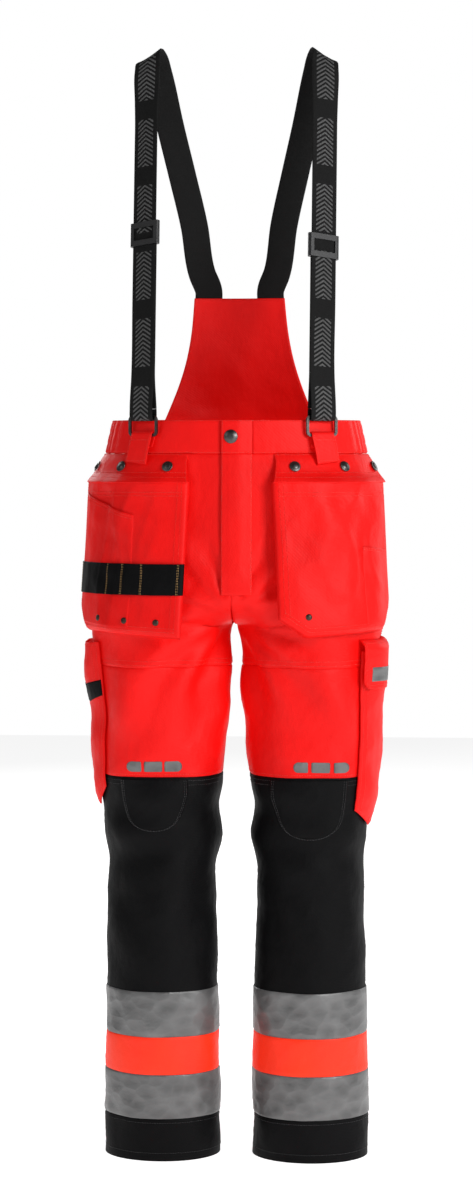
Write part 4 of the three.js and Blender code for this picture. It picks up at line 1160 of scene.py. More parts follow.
@dataclass
class Fly:
    """The covered zip at the centre front."""

    foot: float = 0.822
    free_edge: float = -0.014
    hinge: float = 0.030
    room: float = 0.0042
    tape_edge: float = 0.013
    teeth_inner: float = 0.0012
    teeth_outer: float = 0.0032
    pitch: float = 0.004
    tape_inset: float = 0.0023

    def flap(self) -> bpy.types.Object:
        """The flap over the zip, sewn along its hinge side."""
        heights = edged(self.foot, LEVELS.band, 0.005)
        x = edged(self.free_edge, self.hinge, 0.0035)
        lift = 1 - 0.84 * smoothstep(self.hinge - 0.022, self.hinge, x)
        sway = 0.0005 * np.sin(heights * 55.0)[:, None] * np.ones_like(x)[None, :]
        roll = seam_roll(heights, heights[0], heights[-1])[:, None] + seam_roll(x, x[0], x[-1])[None, :]
        stitched = 0.0007 * (bump(self.hinge - 0.0045, 0.0012, x) + bump(self.free_edge + 0.006, 0.001, x))
        low = 0.25 + 0.75 * smoothstep(self.foot, self.foot + 0.035, heights)[:, None]
        grid = SHAPE.front(
            x[None, :], heights[:, None], self.room * lift[None, :] * low - roll - stitched[None, :] + sway
        )
        piece = cloth_sheet("fly_flap_cloth", grid, 0.0016, np.array([0, -1, 0]))
        WARDROBE.dress(piece, RED)
        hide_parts("fly_flap")
        thread = Thread()
        front = np.array([0.0, -1.0, 0.0])
        x_rows = ((0.12, 0.0, 1.0), (0.84, 0.0, 1.0), (0.92, 0.0, 1.0))
        for column, start, end in x_rows:
            thread.sew(grid_column(grid, column, start, end), front)
        thread.piece("fly_flap_thread", RED_THREAD, "fly")
        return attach(piece, "fly")

    def zip_tape(self, side: Side) -> bpy.types.Object:
        """One tape of the zip with its row of teeth.

        Args:
            side: the wearer's side.

        Returns:
            The piece.
        """
        low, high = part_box(f"{side.word}_zip_tape")
        heights = np.arange(low[2], high[2], self.pitch)
        columns = np.array([self.tape_edge, 0.010, 0.0065, 0.0045, self.teeth_inner + 0.0008])
        grid = SHAPE.front(side.value * columns[None, :], heights[:, None], -self.tape_inset)
        piece = cloth_sheet(f"{side.word}_zip_tape_cloth", grid, 0.0008, np.array([0, -1, 0]))
        WARDROBE.dress(piece, BLACK)
        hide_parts(f"{side.word}_zip_tape")
        self.teeth(side, heights[:-1] + (0.25 + 0.25 * side.value) * self.pitch)
        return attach(piece, "root")

    def teeth(self, side: Side, heights: Array) -> bpy.types.Object:
        """The moulded teeth of one tape, each a block with a nose."""
        nose, back = self.teeth_inner - 0.0004, self.teeth_outer
        outline = [
            (nose, 0.0), (nose + 0.0006, -0.0009), (back, -0.0013), (back, 0.0013), (nose + 0.0006, 0.0009)
        ]
        points, faces = [], []
        for z in heights:
            spot = SHAPE.front(0.0, z, -self.tape_inset - 0.0004)
            start = len(points)
            for depth in (-0.0009, 0.0009):
                points += [(spot[0] + side.value * x, spot[1] + depth, z + dz) for x, dz in outline]
            count = len(outline)
            faces.append([start + k for k in range(count)])
            faces.append([start + count + k for k in range(count)][::-1])
            faces += [
                [start + k, start + count + k, start + count + (k + 1) % count, start + (k + 1) % count]
                for k in range(count)
            ]
        piece = mesh_object(f"{side.word}_zip_teeth", points, faces)
        piece.data.polygons.foreach_set("use_smooth", [False] * len(piece.data.polygons))
        mend_normals(piece)
        WARDROBE.dress(piece, PLASTIC)
        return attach(piece, "root")

    def underlap(self) -> bpy.types.Object:
        """The guard behind the zip."""
        low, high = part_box("fly_underlap")
        x = np.linspace(low[0] + 0.001, high[0] - 0.001, 10) - SHAPE.origin[0]
        heights = np.linspace(low[2], high[2], 46)
        sag = 0.0006 * np.sin(heights * 70.0)[:, None] * np.ones_like(x)[None, :]
        grid = SHAPE.front(x[None, :], heights[:, None], -0.0064 + sag)
        piece = cloth_sheet("fly_underlap_cloth", grid, 0.0012, np.array([0, -1, 0]))
        WARDROBE.dress(piece, BLACK)
        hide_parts("fly_underlap")
        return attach(piece, "root")

    def build(self) -> None:
        """Builds the flap, the zip and the guard."""
        self.flap()
        for side in Side:
            self.zip_tape(side)
        self.underlap()
        keep_hard("zip_slider", GUNMETAL, 0.0003)
        keep_hard("zip_puller", GUNMETAL, 0.0003)
        log.info("fly built")


@dataclass
class Bib:
    """The back bib, a sheet that narrows upwards with hollow sides."""

    bottom_half: float = 0.112
    top_half: float = 0.0665
    hollow: float = 0.010
    top_y: float = 0.084
    top_bow: float = 0.005
    cloth: float = 0.0017
    sunk: float = 0.02

    def point(self, u: Array, v: Array, offset: float | Array = 0.0) -> Array:
        """Points of the bib: u across from the wearer's right, v up, offset backwards."""
        half = self.bottom_half + (self.top_half - self.bottom_half) * v - self.hollow * np.sin(math.pi * v)
        x = (2 * u - 1) * half
        bottom = 0.1183 * np.sqrt(1 - (x / 0.1795) ** 2)
        top = self.top_y - self.top_bow * (2 * u - 1) ** 2
        y = bottom + (top - bottom) * v + offset
        z = LEVELS.waist + 0.0004 + (LEVELS.bib - LEVELS.waist - 0.0004) * v
        return np.stack([x + SHAPE.origin[0], y + SHAPE.origin[1], np.broadcast_to(z, x.shape)], -1)

    def build(self) -> bpy.types.Object:
        """Builds the sheet, its turned edges and its stitches."""
        u = edged(0.0, 1.0, 0.025, 0.02)[None, :]
        v = np.concatenate([[-self.sunk], edged(0.0, 1.0, 0.025, 0.015)])[:, None]
        flat = self.point(u, v)
        rumple = (
            0.0016 * NOISE[FoldKind.DRAPE].at(flat, 0.13) + 0.0006 * NOISE[FoldKind.CRUMPLE].at(flat, 0.05)
        )
        edge = np.minimum(np.minimum(u, 1 - u) * 0.18, (1 - v) * 0.18)
        hem = 0.0007 * (1 - smoothstep(0.009, 0.0105, edge))
        roll = 0.0012 * (1 - smoothstep(0.0, 0.0025, edge))
        settle = smoothstep(0.0, 0.12, v)
        grid = self.point(u, v, settle * rumple - hem + roll)
        piece = cloth_sheet("back_bib_cloth", grid, self.cloth, np.array([0, -1, 0]))
        WARDROBE.dress(piece, RED)
        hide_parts("back_bib")
        thread = Thread()
        front = np.array([0.0, -1.0, 0.0])
        thread.sew(grid_row(grid, 0.955, 0.05, 0.95), front)
        for column in (0.06, 0.94):
            thread.sew(grid_column(grid, column, 0.02, 0.95), front)
        thread.piece("back_bib_thread", RED_THREAD, "root")
        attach(piece, "root")
        log.info("bib built")
        return piece


BIB = Bib()


# ---------------------------------------------------------------- braces


@dataclass
class Braces:
    """Two webbing braces with sliders, rings and tabs."""

    webbing: float = 0.040
    thickness: float = 0.002
    gap: float = 0.0003
    turn: float = math.radians(31)
    foot_x: float = 0.123
    ring_drop: float = 0.009
    stand: float = 0.0071
    loop: float = 0.0052
    bar_rise: float = 0.013
    bar_drop: float = 0.013
    foot_rise: float = 0.070
    top: tuple = (0.128, -0.001, 1.575)
    crest_route: tuple = (
        (0.128, -0.001, 1.575),
        (0.127, 0.006, 1.589),
        (0.124, 0.015, 1.594),
        (0.120, 0.024, 1.589),
        (0.115, 0.031, 1.571),
        (0.099, 0.044, 1.497),
        (0.082, 0.056, 1.425),
        (0.066, 0.067, 1.355),
        (0.055, 0.077, 1.285),
    )
    bib_x: float = 0.046
    lap: float = 0.022
    tab: float = 0.036

    def frame(self, side: Side) -> tuple[Array, Array, Array]:
        """The ring's centre, the way across it and the way out of the body."""
        z = LEVELS.waist
        depth = 0.1183 * math.sqrt(1 - (self.foot_x / 0.1795) ** 2)
        centre = np.array([side.value * self.foot_x, -depth, z - self.ring_drop])
        across = np.array([math.cos(self.turn), side.value * math.sin(self.turn), 0.0])
        out = np.array([side.value * math.sin(self.turn), -math.cos(self.turn), 0.0])
        centre = centre + out * self.stand + np.array([*SHAPE.origin, 0.0])
        return centre, across, out

    def run(self, side: Side) -> tuple[Array, Array, Array, Array, Array]:
        """The straight front run: foot, top, and the ways along, across and out."""
        centre, across, _ = self.frame(side)
        foot = centre + np.array([0, 0, self.foot_rise])
        top = np.array(
            [side.value * self.top[0] + SHAPE.origin[0], self.top[1] + SHAPE.origin[1], self.top[2]]
        )
        along = unit(top - foot)
        level = unit(across - along * (across @ along))
        out = np.cross(level, along)
        return foot, top, along, level, out

    def stations(self, side: Side) -> Array:
        """The webbing's route from behind the ring over the shoulder to the bib."""
        centre, across, out = self.frame(side)
        foot, top, _, level, outwards = self.run(side)
        up = np.array([0.0, 0.0, 1.0])
        offset = outwards * (self.thickness / 2 + self.gap / 2)
        rows = [np.concatenate([centre - out * self.loop + up * (self.bar_rise + 0.011), across])]
        for step in range(9):
            angle = math.pi + step / 8 * math.pi
            place = (
                centre + out * self.loop * math.cos(angle)
                + up * (self.bar_rise + self.loop * math.sin(angle))
            )
            rows.append(np.concatenate([place, across]))
        rows.append(np.concatenate([centre + out * self.loop + up * (self.bar_rise + 0.011), across]))
        for share in (0.0, 0.25, 0.5, 0.75):
            rows.append(np.concatenate([foot + (top - foot) * share + offset, level]))
        crossing = np.array([0.84, 0.1 * side.value, -0.53 * side.value])
        for share in (0.82, 0.9):
            mixed = level + (crossing - level) * (share - 0.82) * 4
            rows.append(np.concatenate([foot + (top - foot) * share + offset, mixed]))
        flat = np.array([1.0, -0.1 * side.value, -0.2 * side.value])
        for k, (x, y, z) in enumerate(self.crest_route):
            place = np.array([side.value * x + SHAPE.origin[0], y + SHAPE.origin[1], z])
            mixed = crossing + (flat - crossing) * max(0, k - 2) / (len(self.crest_route) - 3)
            rows.append(np.concatenate([place, mixed]))
        behind = self.thickness / 2 + self.gap + 0.0008
        for drop in (-0.010, self.lap / 2, self.lap):
            u = (1 + side.value * self.bib_x / BIB.top_half) / 2
            place = BIB.point(np.array(u), np.array(1 - drop / 0.18), behind)
            rows.append(np.concatenate([place, [1, -0.11 * side.value, 0]]))
        return np.array(rows)

    def brace(self, side: Side) -> bpy.types.Object:
        """The main layer of one brace."""
        piece = ribbon(f"{side.word}_brace_webbing", self.stations(side), self.webbing, self.thickness)
        WARDROBE.dress(piece, WEBBING)
        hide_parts(f"{side.word}_brace")
        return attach(piece, "root")

    def back_layer(self, side: Side) -> bpy.types.Object:
        """The layer behind it, from the ring up to the slider."""
        centre, across, out = self.frame(side)
        foot, _, along, level, outwards = self.run(side)
        low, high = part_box(f"{side.word}_brace_slider")
        end_z = (low[2] + high[2]) / 2
        offset = -outwards * (self.thickness / 2 + self.gap / 2)
        end = foot + along * (end_z - foot[2]) / along[2] + offset
        start = foot + offset
        first = centre - out * self.loop + np.array([0, 0, self.bar_rise + 0.0114])
        shares = np.linspace(0.0, 1.0, 12)[:, None]
        rows = [np.concatenate([first, across])]
        rows += [np.concatenate([place, level]) for place in start + (end - start) * shares]
        piece = ribbon(f"{side.word}_brace_return_webbing", np.array(rows), self.webbing, self.thickness)
        WARDROBE.dress(piece, WEBBING)
        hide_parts(f"{side.word}_brace_return")
        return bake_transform(piece)

    def tab_piece(self, side: Side, thread: Thread) -> bpy.types.Object:
        """The cloth tab that holds the ring, sewn down below it."""
        centre, across, out = self.frame(side)
        up = np.array([0.0, 0.0, 1.0])
        cloth = 0.0016
        fold = 0.002 + 0.0003 + cloth / 2
        stand = 0.0015 + 0.0003 + cloth / 2 + 0.0008
        base = centre - up * self.bar_drop

        def on_body(z: float, outwards: float, standing: float) -> Array:
            width, depth = float(hermite(SHAPE.hip_width, z)), float(hermite(SHAPE.hip_depth, z))
            x = self.foot_x + outwards
            y = -depth * math.sqrt(1 - (x / width) ** 2)
            return np.array([side.value * x + SHAPE.origin[0], y + SHAPE.origin[1], z]) + out * standing

        rows = [on_body(base[2] - 0.016, 0.003, 0.0026 + cloth / 2), base - out * stand + up * fold / 2]
        for angle in (150, 120, 90, 60, 30):
            turn = math.radians(angle)
            rows.append(base + out * stand * math.cos(turn) + up * (fold / 2 + fold * math.sin(turn)))
        rows.append(base + out * stand + up * fold / 2)
        low_z = base[2] + 1.5 * fold - 0.044
        low = on_body(low_z, 0.008, 0.011)
        start = rows[-1]
        rows += [
            start + (low - start) * share + out * 0.0012 * math.sin(math.pi * share) for share in (0.33, 0.66)
        ]
        rows.append(low)
        stations = np.array([np.concatenate([row, across]) for row in rows])
        piece = ribbon(f"{side.word}_ring_tab_cloth", stations, self.tab, cloth, 0.003)
        WARDROBE.dress(piece, RED)
        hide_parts(f"{side.word}_ring_tab")
        face = out * (cloth / 2)
        for shift in (-0.42, 0.42):
            edge = np.array([r + across * self.tab * shift + face for r in rows[-4:]])
            thread.sew(edge, out)
        for share in (0.2, 0.92):
            middle = start + (low - start) * share + face * 1.3 + out * 0.0012 * math.sin(math.pi * share)
            thread.sew(np.array([middle + across * self.tab * k for k in (-0.42, 0, 0.42)]), out)
        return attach(piece, "root")

    def build(self) -> None:
        """Builds both braces with their hardware."""
        thread = Thread()
        for side in Side:
            self.brace(side)
            self.back_layer(side)
            self.tab_piece(side, thread)
            keep_hard(f"{side.word}_brace_slider", PLASTIC, 0.0012)
            keep_hard(f"{side.word}_brace_ring", GUNMETAL, 0.0009)
        thread.piece("ring_tab_thread", RED_THREAD, "root")
        log.info("braces built")


# ---------------------------------------------------------------- holsters


@dataclass
class Holster:
    """One hanging holster pocket with its yoke."""

    side: Side
    inner_corner: bool
    loops: tuple = ()
    inner: tuple[float, float] = (0.072, -0.126)
    outer: tuple[float, float] = (0.209, -0.010)
    bow: float = 0.020
    lean: float = 0.018 / 0.222
    height: float = 0.222
    chamfer: float = 0.038
    cloth: float = 0.0018
    overlap: float = 0.0025
    start: float = -0.085
    thread: Thread = field(default_factory=Thread)

    @property
    def out(self) -> Array:
        """The way out of the body, square to the mouth."""
        along = unit(np.array(self.outer) - np.array(self.inner))
        return np.array([self.side.value * along[1], -along[0], 0.0])

    def point(self, u: Array, z: Array, depth: Array | float = 0.0) -> Array:
        """Points of the holster.

        Args:
            u: along the mouth from its inner end.
            z: heights.
            depth: the distance out of the bag's back face.

        Returns:
            An array of points.
        """
        u, z, depth = np.broadcast_arrays(*(np.asarray(value, float) for value in (u, z, depth)))
        plan = np.array(self.inner) * (1 - u)[..., None] + np.array(self.outer) * u[..., None]
        plan = plan * np.array([self.side.value, 1.0]) + np.array(SHAPE.origin)
        hang = self.bow * (1 - (2 * u - 1) ** 2) + self.lean * (LEVELS.holster_mouth - z) + depth
        return np.concatenate([plan + self.out[:2] * hang[..., None], z[..., None]], -1)

    def front_depth(self, u: Array) -> Array:
        """The bag's thickness from back to front."""
        return 0.009 + 0.011 * np.sin(math.pi * np.clip(u, 0.0, 1.0))

    def bottom(self, u: Array) -> Array:
        """The height of the bag's lower edge, cut off at its corners."""
        outer = np.maximum(0.0, (u - 0.86) / 0.14)
        inner = np.maximum(0.0, 0.75 * (self.start + 0.19 - u) / 0.19) if self.inner_corner else 0.0
        return LEVELS.holster_mouth - self.height + 0.008 * u + self.chamfer * np.maximum(outer, inner)

    def folds(self, u: Array, z: Array) -> Array:
        """Sagging folds of the bag's front."""
        flat = self.point(u, z)
        drop = (LEVELS.holster_mouth - z) / self.height
        slant = NOISE[FoldKind.DRAPE].at(flat * np.array([1, 1, 0.5]) + 3.0 * self.side.value, 0.075)
        mouth = np.sin(u * math.pi * 3.0 + self.side.value) * np.exp(-drop * 5.0)
        small = NOISE[FoldKind.CRUMPLE].at(flat + self.side.value, 0.04)
        span = np.clip((u - self.start) / (1 - self.start), 0, 1)
        hold = np.sin(math.pi * span) ** 0.5 * smoothstep(0.0, 0.12, drop)
        streak = NOISE[FoldKind.CREASE].at(flat * np.array([1.0, 1.0, 0.45]) + self.side.value, 0.055)
        fade = 1 - 0.55 * smoothstep(0.3, 0.9, drop)
        return hold * (
            fade * (0.0030 * slant + 0.0022 * (ridges(streak, 2.5) - 0.4)) + 0.0012 * mouth + 0.0008 * small
        )

    def front(self, u: Array, z: Array, proud: float | Array = 0.0) -> Array:
        """Points of the bag's front face."""
        edge = np.clip(np.minimum(u - self.start, 1 - u) / 0.05, 0.0, 1.0)
        foot = np.clip((z - self.bottom(u)) / 0.014, 0.0, 1.0)
        swell = np.sqrt(np.clip(edge * (2 - edge), 0, 1)) * np.sqrt(np.clip(foot * (2 - foot), 0, 1))
        hem = 0.0008 * (
            bump(self.start + 0.033, 0.0055, u) + bump(LEVELS.holster_mouth - 0.019, 0.0008, z)
            + bump(0.967, 0.0055, u)
        )
        depth = 0.003 + (self.front_depth(u) - 0.003) * swell + (self.folds(u, z) - hem) * swell
        return self.point(u, z, depth + proud)

    def bag(self) -> bpy.types.Object:
        """The bag, a loop of cloth round its front and back that closes at the bottom."""
        u = edged(self.start, 1.0, 0.025, 0.05)
        share = edged(0.0, 1.0, 0.02, 0.06)[:, None]
        low = self.bottom(u)[None, :]
        z = low + (LEVELS.holster_mouth - 0.0005 - low) * share
        front = self.front(np.broadcast_to(u, z.shape), z)
        back_u = u[::-1][1:-1]
        back = self.point(back_u[None, :], z[:, ::-1][:, 1:-1], 0.0007)
        grid = np.concatenate([front, back], 1)
        middle = self.point(np.full_like(grid[..., 0], 0.5), grid[..., 2], 0.008)
        piece = cloth_sheet(f"{self.side.word}_holster_bag_cloth", grid, self.cloth, (grid - middle), True)
        WARDROBE.dress(piece, RED)
        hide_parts(f"{self.side.word}_holster_bag")
        self.stitch_bag()
        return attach(piece, f"{self.side.word}_holster")

    def stitch_bag(self) -> None:
        """Double seams up the sides, a hem at the mouth and a seam along the bottom."""
        out = self.out
        for u in (self.start + 0.035, self.start + 0.065, 0.965, 0.935):
            z = np.linspace(float(self.bottom(np.array(u))) + 0.012, LEVELS.holster_mouth - 0.002, 30)
            self.thread.sew(self.front(np.full_like(z, u), z, 0.0002), out)
        u = np.linspace(self.start + 0.03, 0.97, 54)
        for drop in (0.0165, 0.0215):
            self.thread.sew(self.front(u, np.full_like(u, LEVELS.holster_mouth - drop), 0.0002), out)
        for rise in (0.009, 0.0145):
            self.thread.sew(self.front(u, self.bottom(u) + rise, 0.0003), out)

    def tier(self, name: str, top_inner: float, top_outer: float, u0: float, u1: float) -> bpy.types.Object:
        """A pocket sewn on the bag's front, with a slanting mouth.

        Args:
            name: the piece's name.
            top_inner: how far its mouth lies below the bag's mouth at its inner end.
            top_outer: the same at its outer end.
            u0: where it starts along the bag.
            u1: where it ends.

        Returns:
            The piece.
        """
        u = edged(u0, u1, 0.025, 0.012)
        share = edged(0.0, 1.0, 0.03, 0.03)[:, None]
        top = LEVELS.holster_mouth - top_inner - (top_outer - top_inner) * (u - u0) / (u1 - u0)
        low = self.bottom(u) + 0.012
        z = low + (top - low) * share
        wide = np.broadcast_to(u, z.shape)
        ends = np.clip(np.minimum(wide - u0, u1 - wide) / 0.05, 0, 1)
        near_top = smoothstep(0.5, 1.0, share)
        proud = (
            0.0007 + 0.0022 * ends * near_top
            - 0.0006 * (1 - smoothstep(0, 0.01, np.minimum(wide - u0, u1 - wide)))
        )
        grid = self.front(wide, z, proud)
        piece = cloth_sheet(name, grid, 0.0007, self.out)
        WARDROBE.dress(piece, RED)
        self.thread.sew(grid_row(grid, 0.95, 0.06, 0.94), self.out)
        self.thread.sew(grid_row(grid, 0.91, 0.06, 0.94), self.out)
        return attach(piece, f"{self.side.word}_holster")

    def yoke_point(self, u: Array, v: Array, depth: float | Array) -> Array:
        """Points of the yoke: u along it, v up to the waistband, depth out of its inner face."""
        start = math.asin(0.060 / 0.190)
        angle = start + (math.pi / 2 - start) * np.clip(u, 0, 1)
        high = SHAPE.round_waist(angle * self.side.value, np.full_like(angle, LEVELS.band - 0.0004))
        settle = 1 - 0.7 * smoothstep(0.75, 1.0, v)
        high = high + self.out * ((0.0009 + np.asarray(depth)) * settle)[..., None]
        flare = (self.front_depth(u) / 2 + 0.0006) * (1 - smoothstep(0.0, 0.42, v))
        low = self.point(u, LEVELS.holster_mouth - self.overlap, self.front_depth(u) / 2 + flare + depth)
        return low + (high - low) * np.asarray(v)[..., None]

    def yoke(self) -> bpy.types.Object:
        """The flap between waistband and bag, which carries the snaps."""
        u, v = np.meshgrid(edged(0.0, 1.0, 0.025, 0.012), edged(0.0, 1.0, 0.12, 0.07))
        ends = 0.0007 * (1 - smoothstep(0, 0.02, np.minimum(u, 1 - u))) + 0.0006 * (1 - smoothstep(0, 0.1, v))
        u = u + (self.start - 0.01) * (1 - u) ** 3 * (1 - 0.75 * v)
        wave = 0.0009 * np.sin(u * 19.0 + self.side.value) * (1 - v)
        grid = self.yoke_point(u, v, 0.0019 - ends + wave)
        word = self.side.word
        piece = cloth_sheet(f"{word}_holster_yoke_cloth", grid, 0.0015, self.out)
        WARDROBE.dress(piece, RED)
        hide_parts(f"{word}_holster_yoke")
        thread = Thread()
        for row in (0.3, 0.4, 0.9):
            thread.sew(grid_row(grid, row, 0.03, 0.97), self.out)
        for column in (0.04, 0.96):
            thread.sew(grid_column(grid, column, 0.1, 0.95), self.out)
        thread.piece(f"{word}_holster_yoke_thread", RED_THREAD, "root")
        for place in ("inner", "middle", "outer"):
            button(f"{word}_yoke_snap_{place}", ButtonKind.SNAP, GUNMETAL, "root")
        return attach(piece, "root")

    def strip(self) -> None:
        """The black band of tool loops across the bag."""
        low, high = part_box("tool_strip")
        u = np.unique(np.concatenate([edged(self.start, 1.0, 0.012, 0.008), self.loops]))
        rows = edged(float(low[2]), float(high[2]), 0.004)
        z = rows[:, None]
        swell = np.zeros_like(u)
        for first, last in zip(self.loops[:-1], self.loops[1:]):
            inside = np.clip((u - first) / (last - first), 0, 1)
            swell += 0.0026 * np.sin(math.pi * inside) ** 0.7 * (last - first < 0.3)
        ends = np.clip(np.minimum(rows - low[2], high[2] - rows) / 0.010, 0, 1)[:, None]
        proud = 0.0006 + 0.0012 + swell[None, :] * (0.75 + 0.25 * ends)
        edge = np.clip(np.minimum(u - self.start, 1 - u) / 0.02, 0.0, 1.0)
        proud = proud - 0.0012 * (1 - edge)[None, :] ** 2
        grid = self.front(
            np.broadcast_to(u, (len(rows), len(u))), np.broadcast_to(z, (len(rows), len(u))), proud
        )
        piece = cloth_sheet("tool_strip_cloth", grid, 0.0011, self.out)
        WARDROBE.dress(piece, BLACK)
        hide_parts("tool_strip")
        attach(piece, "right_holster")
        thread = Thread(0.0034, 0.00055)
        for place in self.loops:
            column = int(np.argmin(np.abs(u - place)))
            for shift in (-0.0009, 0.0009):
                line = (
                    grid[:, column]
                    + unit(grid[:, min(column + 1, len(u) - 1)] - grid[:, max(column - 1, 0)]) * shift
                )
                thread.sew(line + self.out * 0.0003, self.out)
        thread.piece("tool_strip_thread", SAND_THREAD, "right_holster")

    def build(self) -> None:
        """Builds the bag, its pockets, its yoke and its rivets."""
        word = self.side.word
        self.bag()
        if self.loops:
            self.strip()
            self.tier(f"{word}_holster_slant_pocket", 0.048, 0.018, 0.30, 0.95)
        else:
            self.tier(f"{word}_holster_side_pocket", 0.093, 0.100, 0.62, 0.95)
        self.yoke()
        self.thread.piece(f"{word}_holster_thread", RED_THREAD, f"{word}_holster")
        places = ("inner", "middle", "outer") if self.loops else ("inner", "outer")
        for place in places:
            button(f"{word}_bag_rivet_{place}", ButtonKind.RIVET, ANTIQUE, f"{word}_holster")
        log.info("%s holster built", word)


# ---------------------------------------------------------------- thigh pockets and marks


@dataclass
class SidePocket:
    """A patch pocket on the outer side of a leg, standing off its bellows."""

    node: str
    side: Side
    start: float
    end: float
    top: float
    bottom: float
    tip: float
    tip_at: float
    room: float = 0.009

    def grid(self, extra: float = 0.0) -> Array:
        """The pocket's outer face.

        Args:
            extra: a distance added to its stand.

        Returns:
            A grid of points from its pointed foot up.
        """
        u = edged(0.0, 1.0, 0.035, 0.03)[None, :]
        share = edged(0.0, 1.0, 0.02, 0.015)[:, None]
        away = np.where(
            u < self.tip_at, (self.tip_at - u) / self.tip_at, (u - self.tip_at) / (1 - self.tip_at)
        )
        low = self.bottom + self.tip * away
        z = low + (self.top - low) * share
        across = np.clip(np.sin(math.pi * u) * 1.6, 0, 1)
        rise = np.clip(share * 6, 0, 1)
        fold = 0.0011 * np.sin(z * 62.0 + u * 5.0) * across
        stand = 0.0008 + self.room * np.sqrt(across * rise) + 0.0018 + fold + extra
        s = 2.0 - (self.start + (self.end - self.start) * u) / 180.0
        return worn(self.side, np.broadcast_to(s, z.shape), z, stand)

    def build(self, thread: Thread) -> Array:
        """Builds the pocket.

        Args:
            thread: the thread for its seams.

        Returns:
            The grid of its outer face.
        """
        grid = self.grid()
        out = np.array([self.side.value, 0.0, 0.0])
        piece = cloth_sheet(f"{self.node}_cloth", grid, 0.0016, out)
        WARDROBE.dress(piece, RED)
        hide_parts(self.node)
        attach(piece, "root")
        for column in (0.09, 0.14, 0.91):
            thread.sew(grid_column(grid, column, 0.06, 0.98), out)
        thread.sew(grid_row(grid, 0.06, 0.1, 0.9), out)
        thread.sew(grid_row(grid, 0.94, 0.05, 0.95), out)
        return grid


@dataclass
class ThighPockets:
    """The rule pocket on the right and the cargo pocket with its flap on the left."""

    flap_stand: float = 0.0118

    def patch(
        self, name: str, grid: Array, rows: tuple, columns: tuple, finish: ClothFinish, proud: float
    ) -> bpy.types.Object:
        """A label-like patch laid on part of a grid.

        Args:
            name: the piece's name.
            grid: the grid it lies on.
            rows: the shares of height it spans.
            columns: the shares of width it spans.
            finish: its cloth.
            proud: how far it stands off the grid.

        Returns:
            The piece, riding on nothing yet.
        """
        count = 12
        lines = [smooth_path(grid_row(grid, row, *columns), 0.003) for row in np.linspace(*rows, count)]
        width = min(len(line) for line in lines)
        part = np.array([line[np.linspace(0, len(line) - 1, width).astype(int)] for line in lines])
        out = unit(part * (1, 1, 0))
        piece = cloth_sheet(name, part + out * proud, 0.0005, out)
        WARDROBE.dress(piece, finish)
        return piece

    def flap(self) -> None:
        """The cargo pocket's flap, which lifts about its sewn top edge."""
        low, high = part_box("cargo_flap")
        u = edged(0.0, 1.0, 0.035, 0.03)[None, :]
        share = edged(0.0, 1.0, 0.05, 0.04)[:, None]
        corner = 0.010 * np.maximum(0, 1 - np.minimum(u, 1 - u) / 0.10) ** 2
        z = low[2] + corner + (high[2] - low[2] - corner) * share
        shoulder = np.sqrt(np.clip((high[2] - z) / 0.010, 0, 1))
        wave = 0.0008 * np.sin(u * 11.0) * (1 - share)
        stand = 0.0012 + (self.flap_stand + 0.0016) * shoulder + wave
        s = 2.0 - (136 + 84 * u) / 180.0
        grid = worn(Side.LEFT, np.broadcast_to(s, z.shape), z, stand)
        out = np.array([1.0, 0.0, 0.0])
        piece = cloth_sheet("cargo_flap_cloth", grid, 0.0015, out)
        WARDROBE.dress(piece, RED)
        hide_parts("cargo_flap")
        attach(piece, "flap")
        mark = self.patch("cargo_flap_mark", grid, (0.22, 0.46), (0.16, 0.44), TAPE, 0.0004)
        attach(mark, "flap")
        thread = Thread()
        for row, start, end in ((0.08, 0.08, 0.92), (0.16, 0.08, 0.92), (0.86, 0.03, 0.97)):
            thread.sew(grid_row(grid, row, start, end), out)
        for column in (0.08, 0.92):
            thread.sew(grid_column(grid, column, 0.1, 0.9), out)
        thread.piece("cargo_flap_thread", RED_THREAD, "flap")

    def build(self) -> None:
        """Builds both pockets with their marks."""
        thread = Thread()
        rule = SidePocket("rule_pocket", Side.RIGHT, 146, 212, 0.751, 0.512, 0.030, 0.3)
        grid = rule.build(thread)
        loop = self.patch("rule_pocket_loop", grid, (0.62, 0.72), (0.03, 0.85), BLACK, 0.0008)
        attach(loop, "root")
        cargo = SidePocket("cargo_pocket", Side.LEFT, 138, 218, 0.740, 0.484, 0.026, 0.35)
        cargo.build(thread)
        self.flap()
        thread.piece("thigh_pocket_thread", RED_THREAD, "root")
        log.info("thigh pockets built")


@dataclass(frozen=True)
class Dot:
    """A reflective pad: its ends from the centre line and its corner radii."""

    inner: float
    outer: float
    inner_corner: float
    outer_corner: float


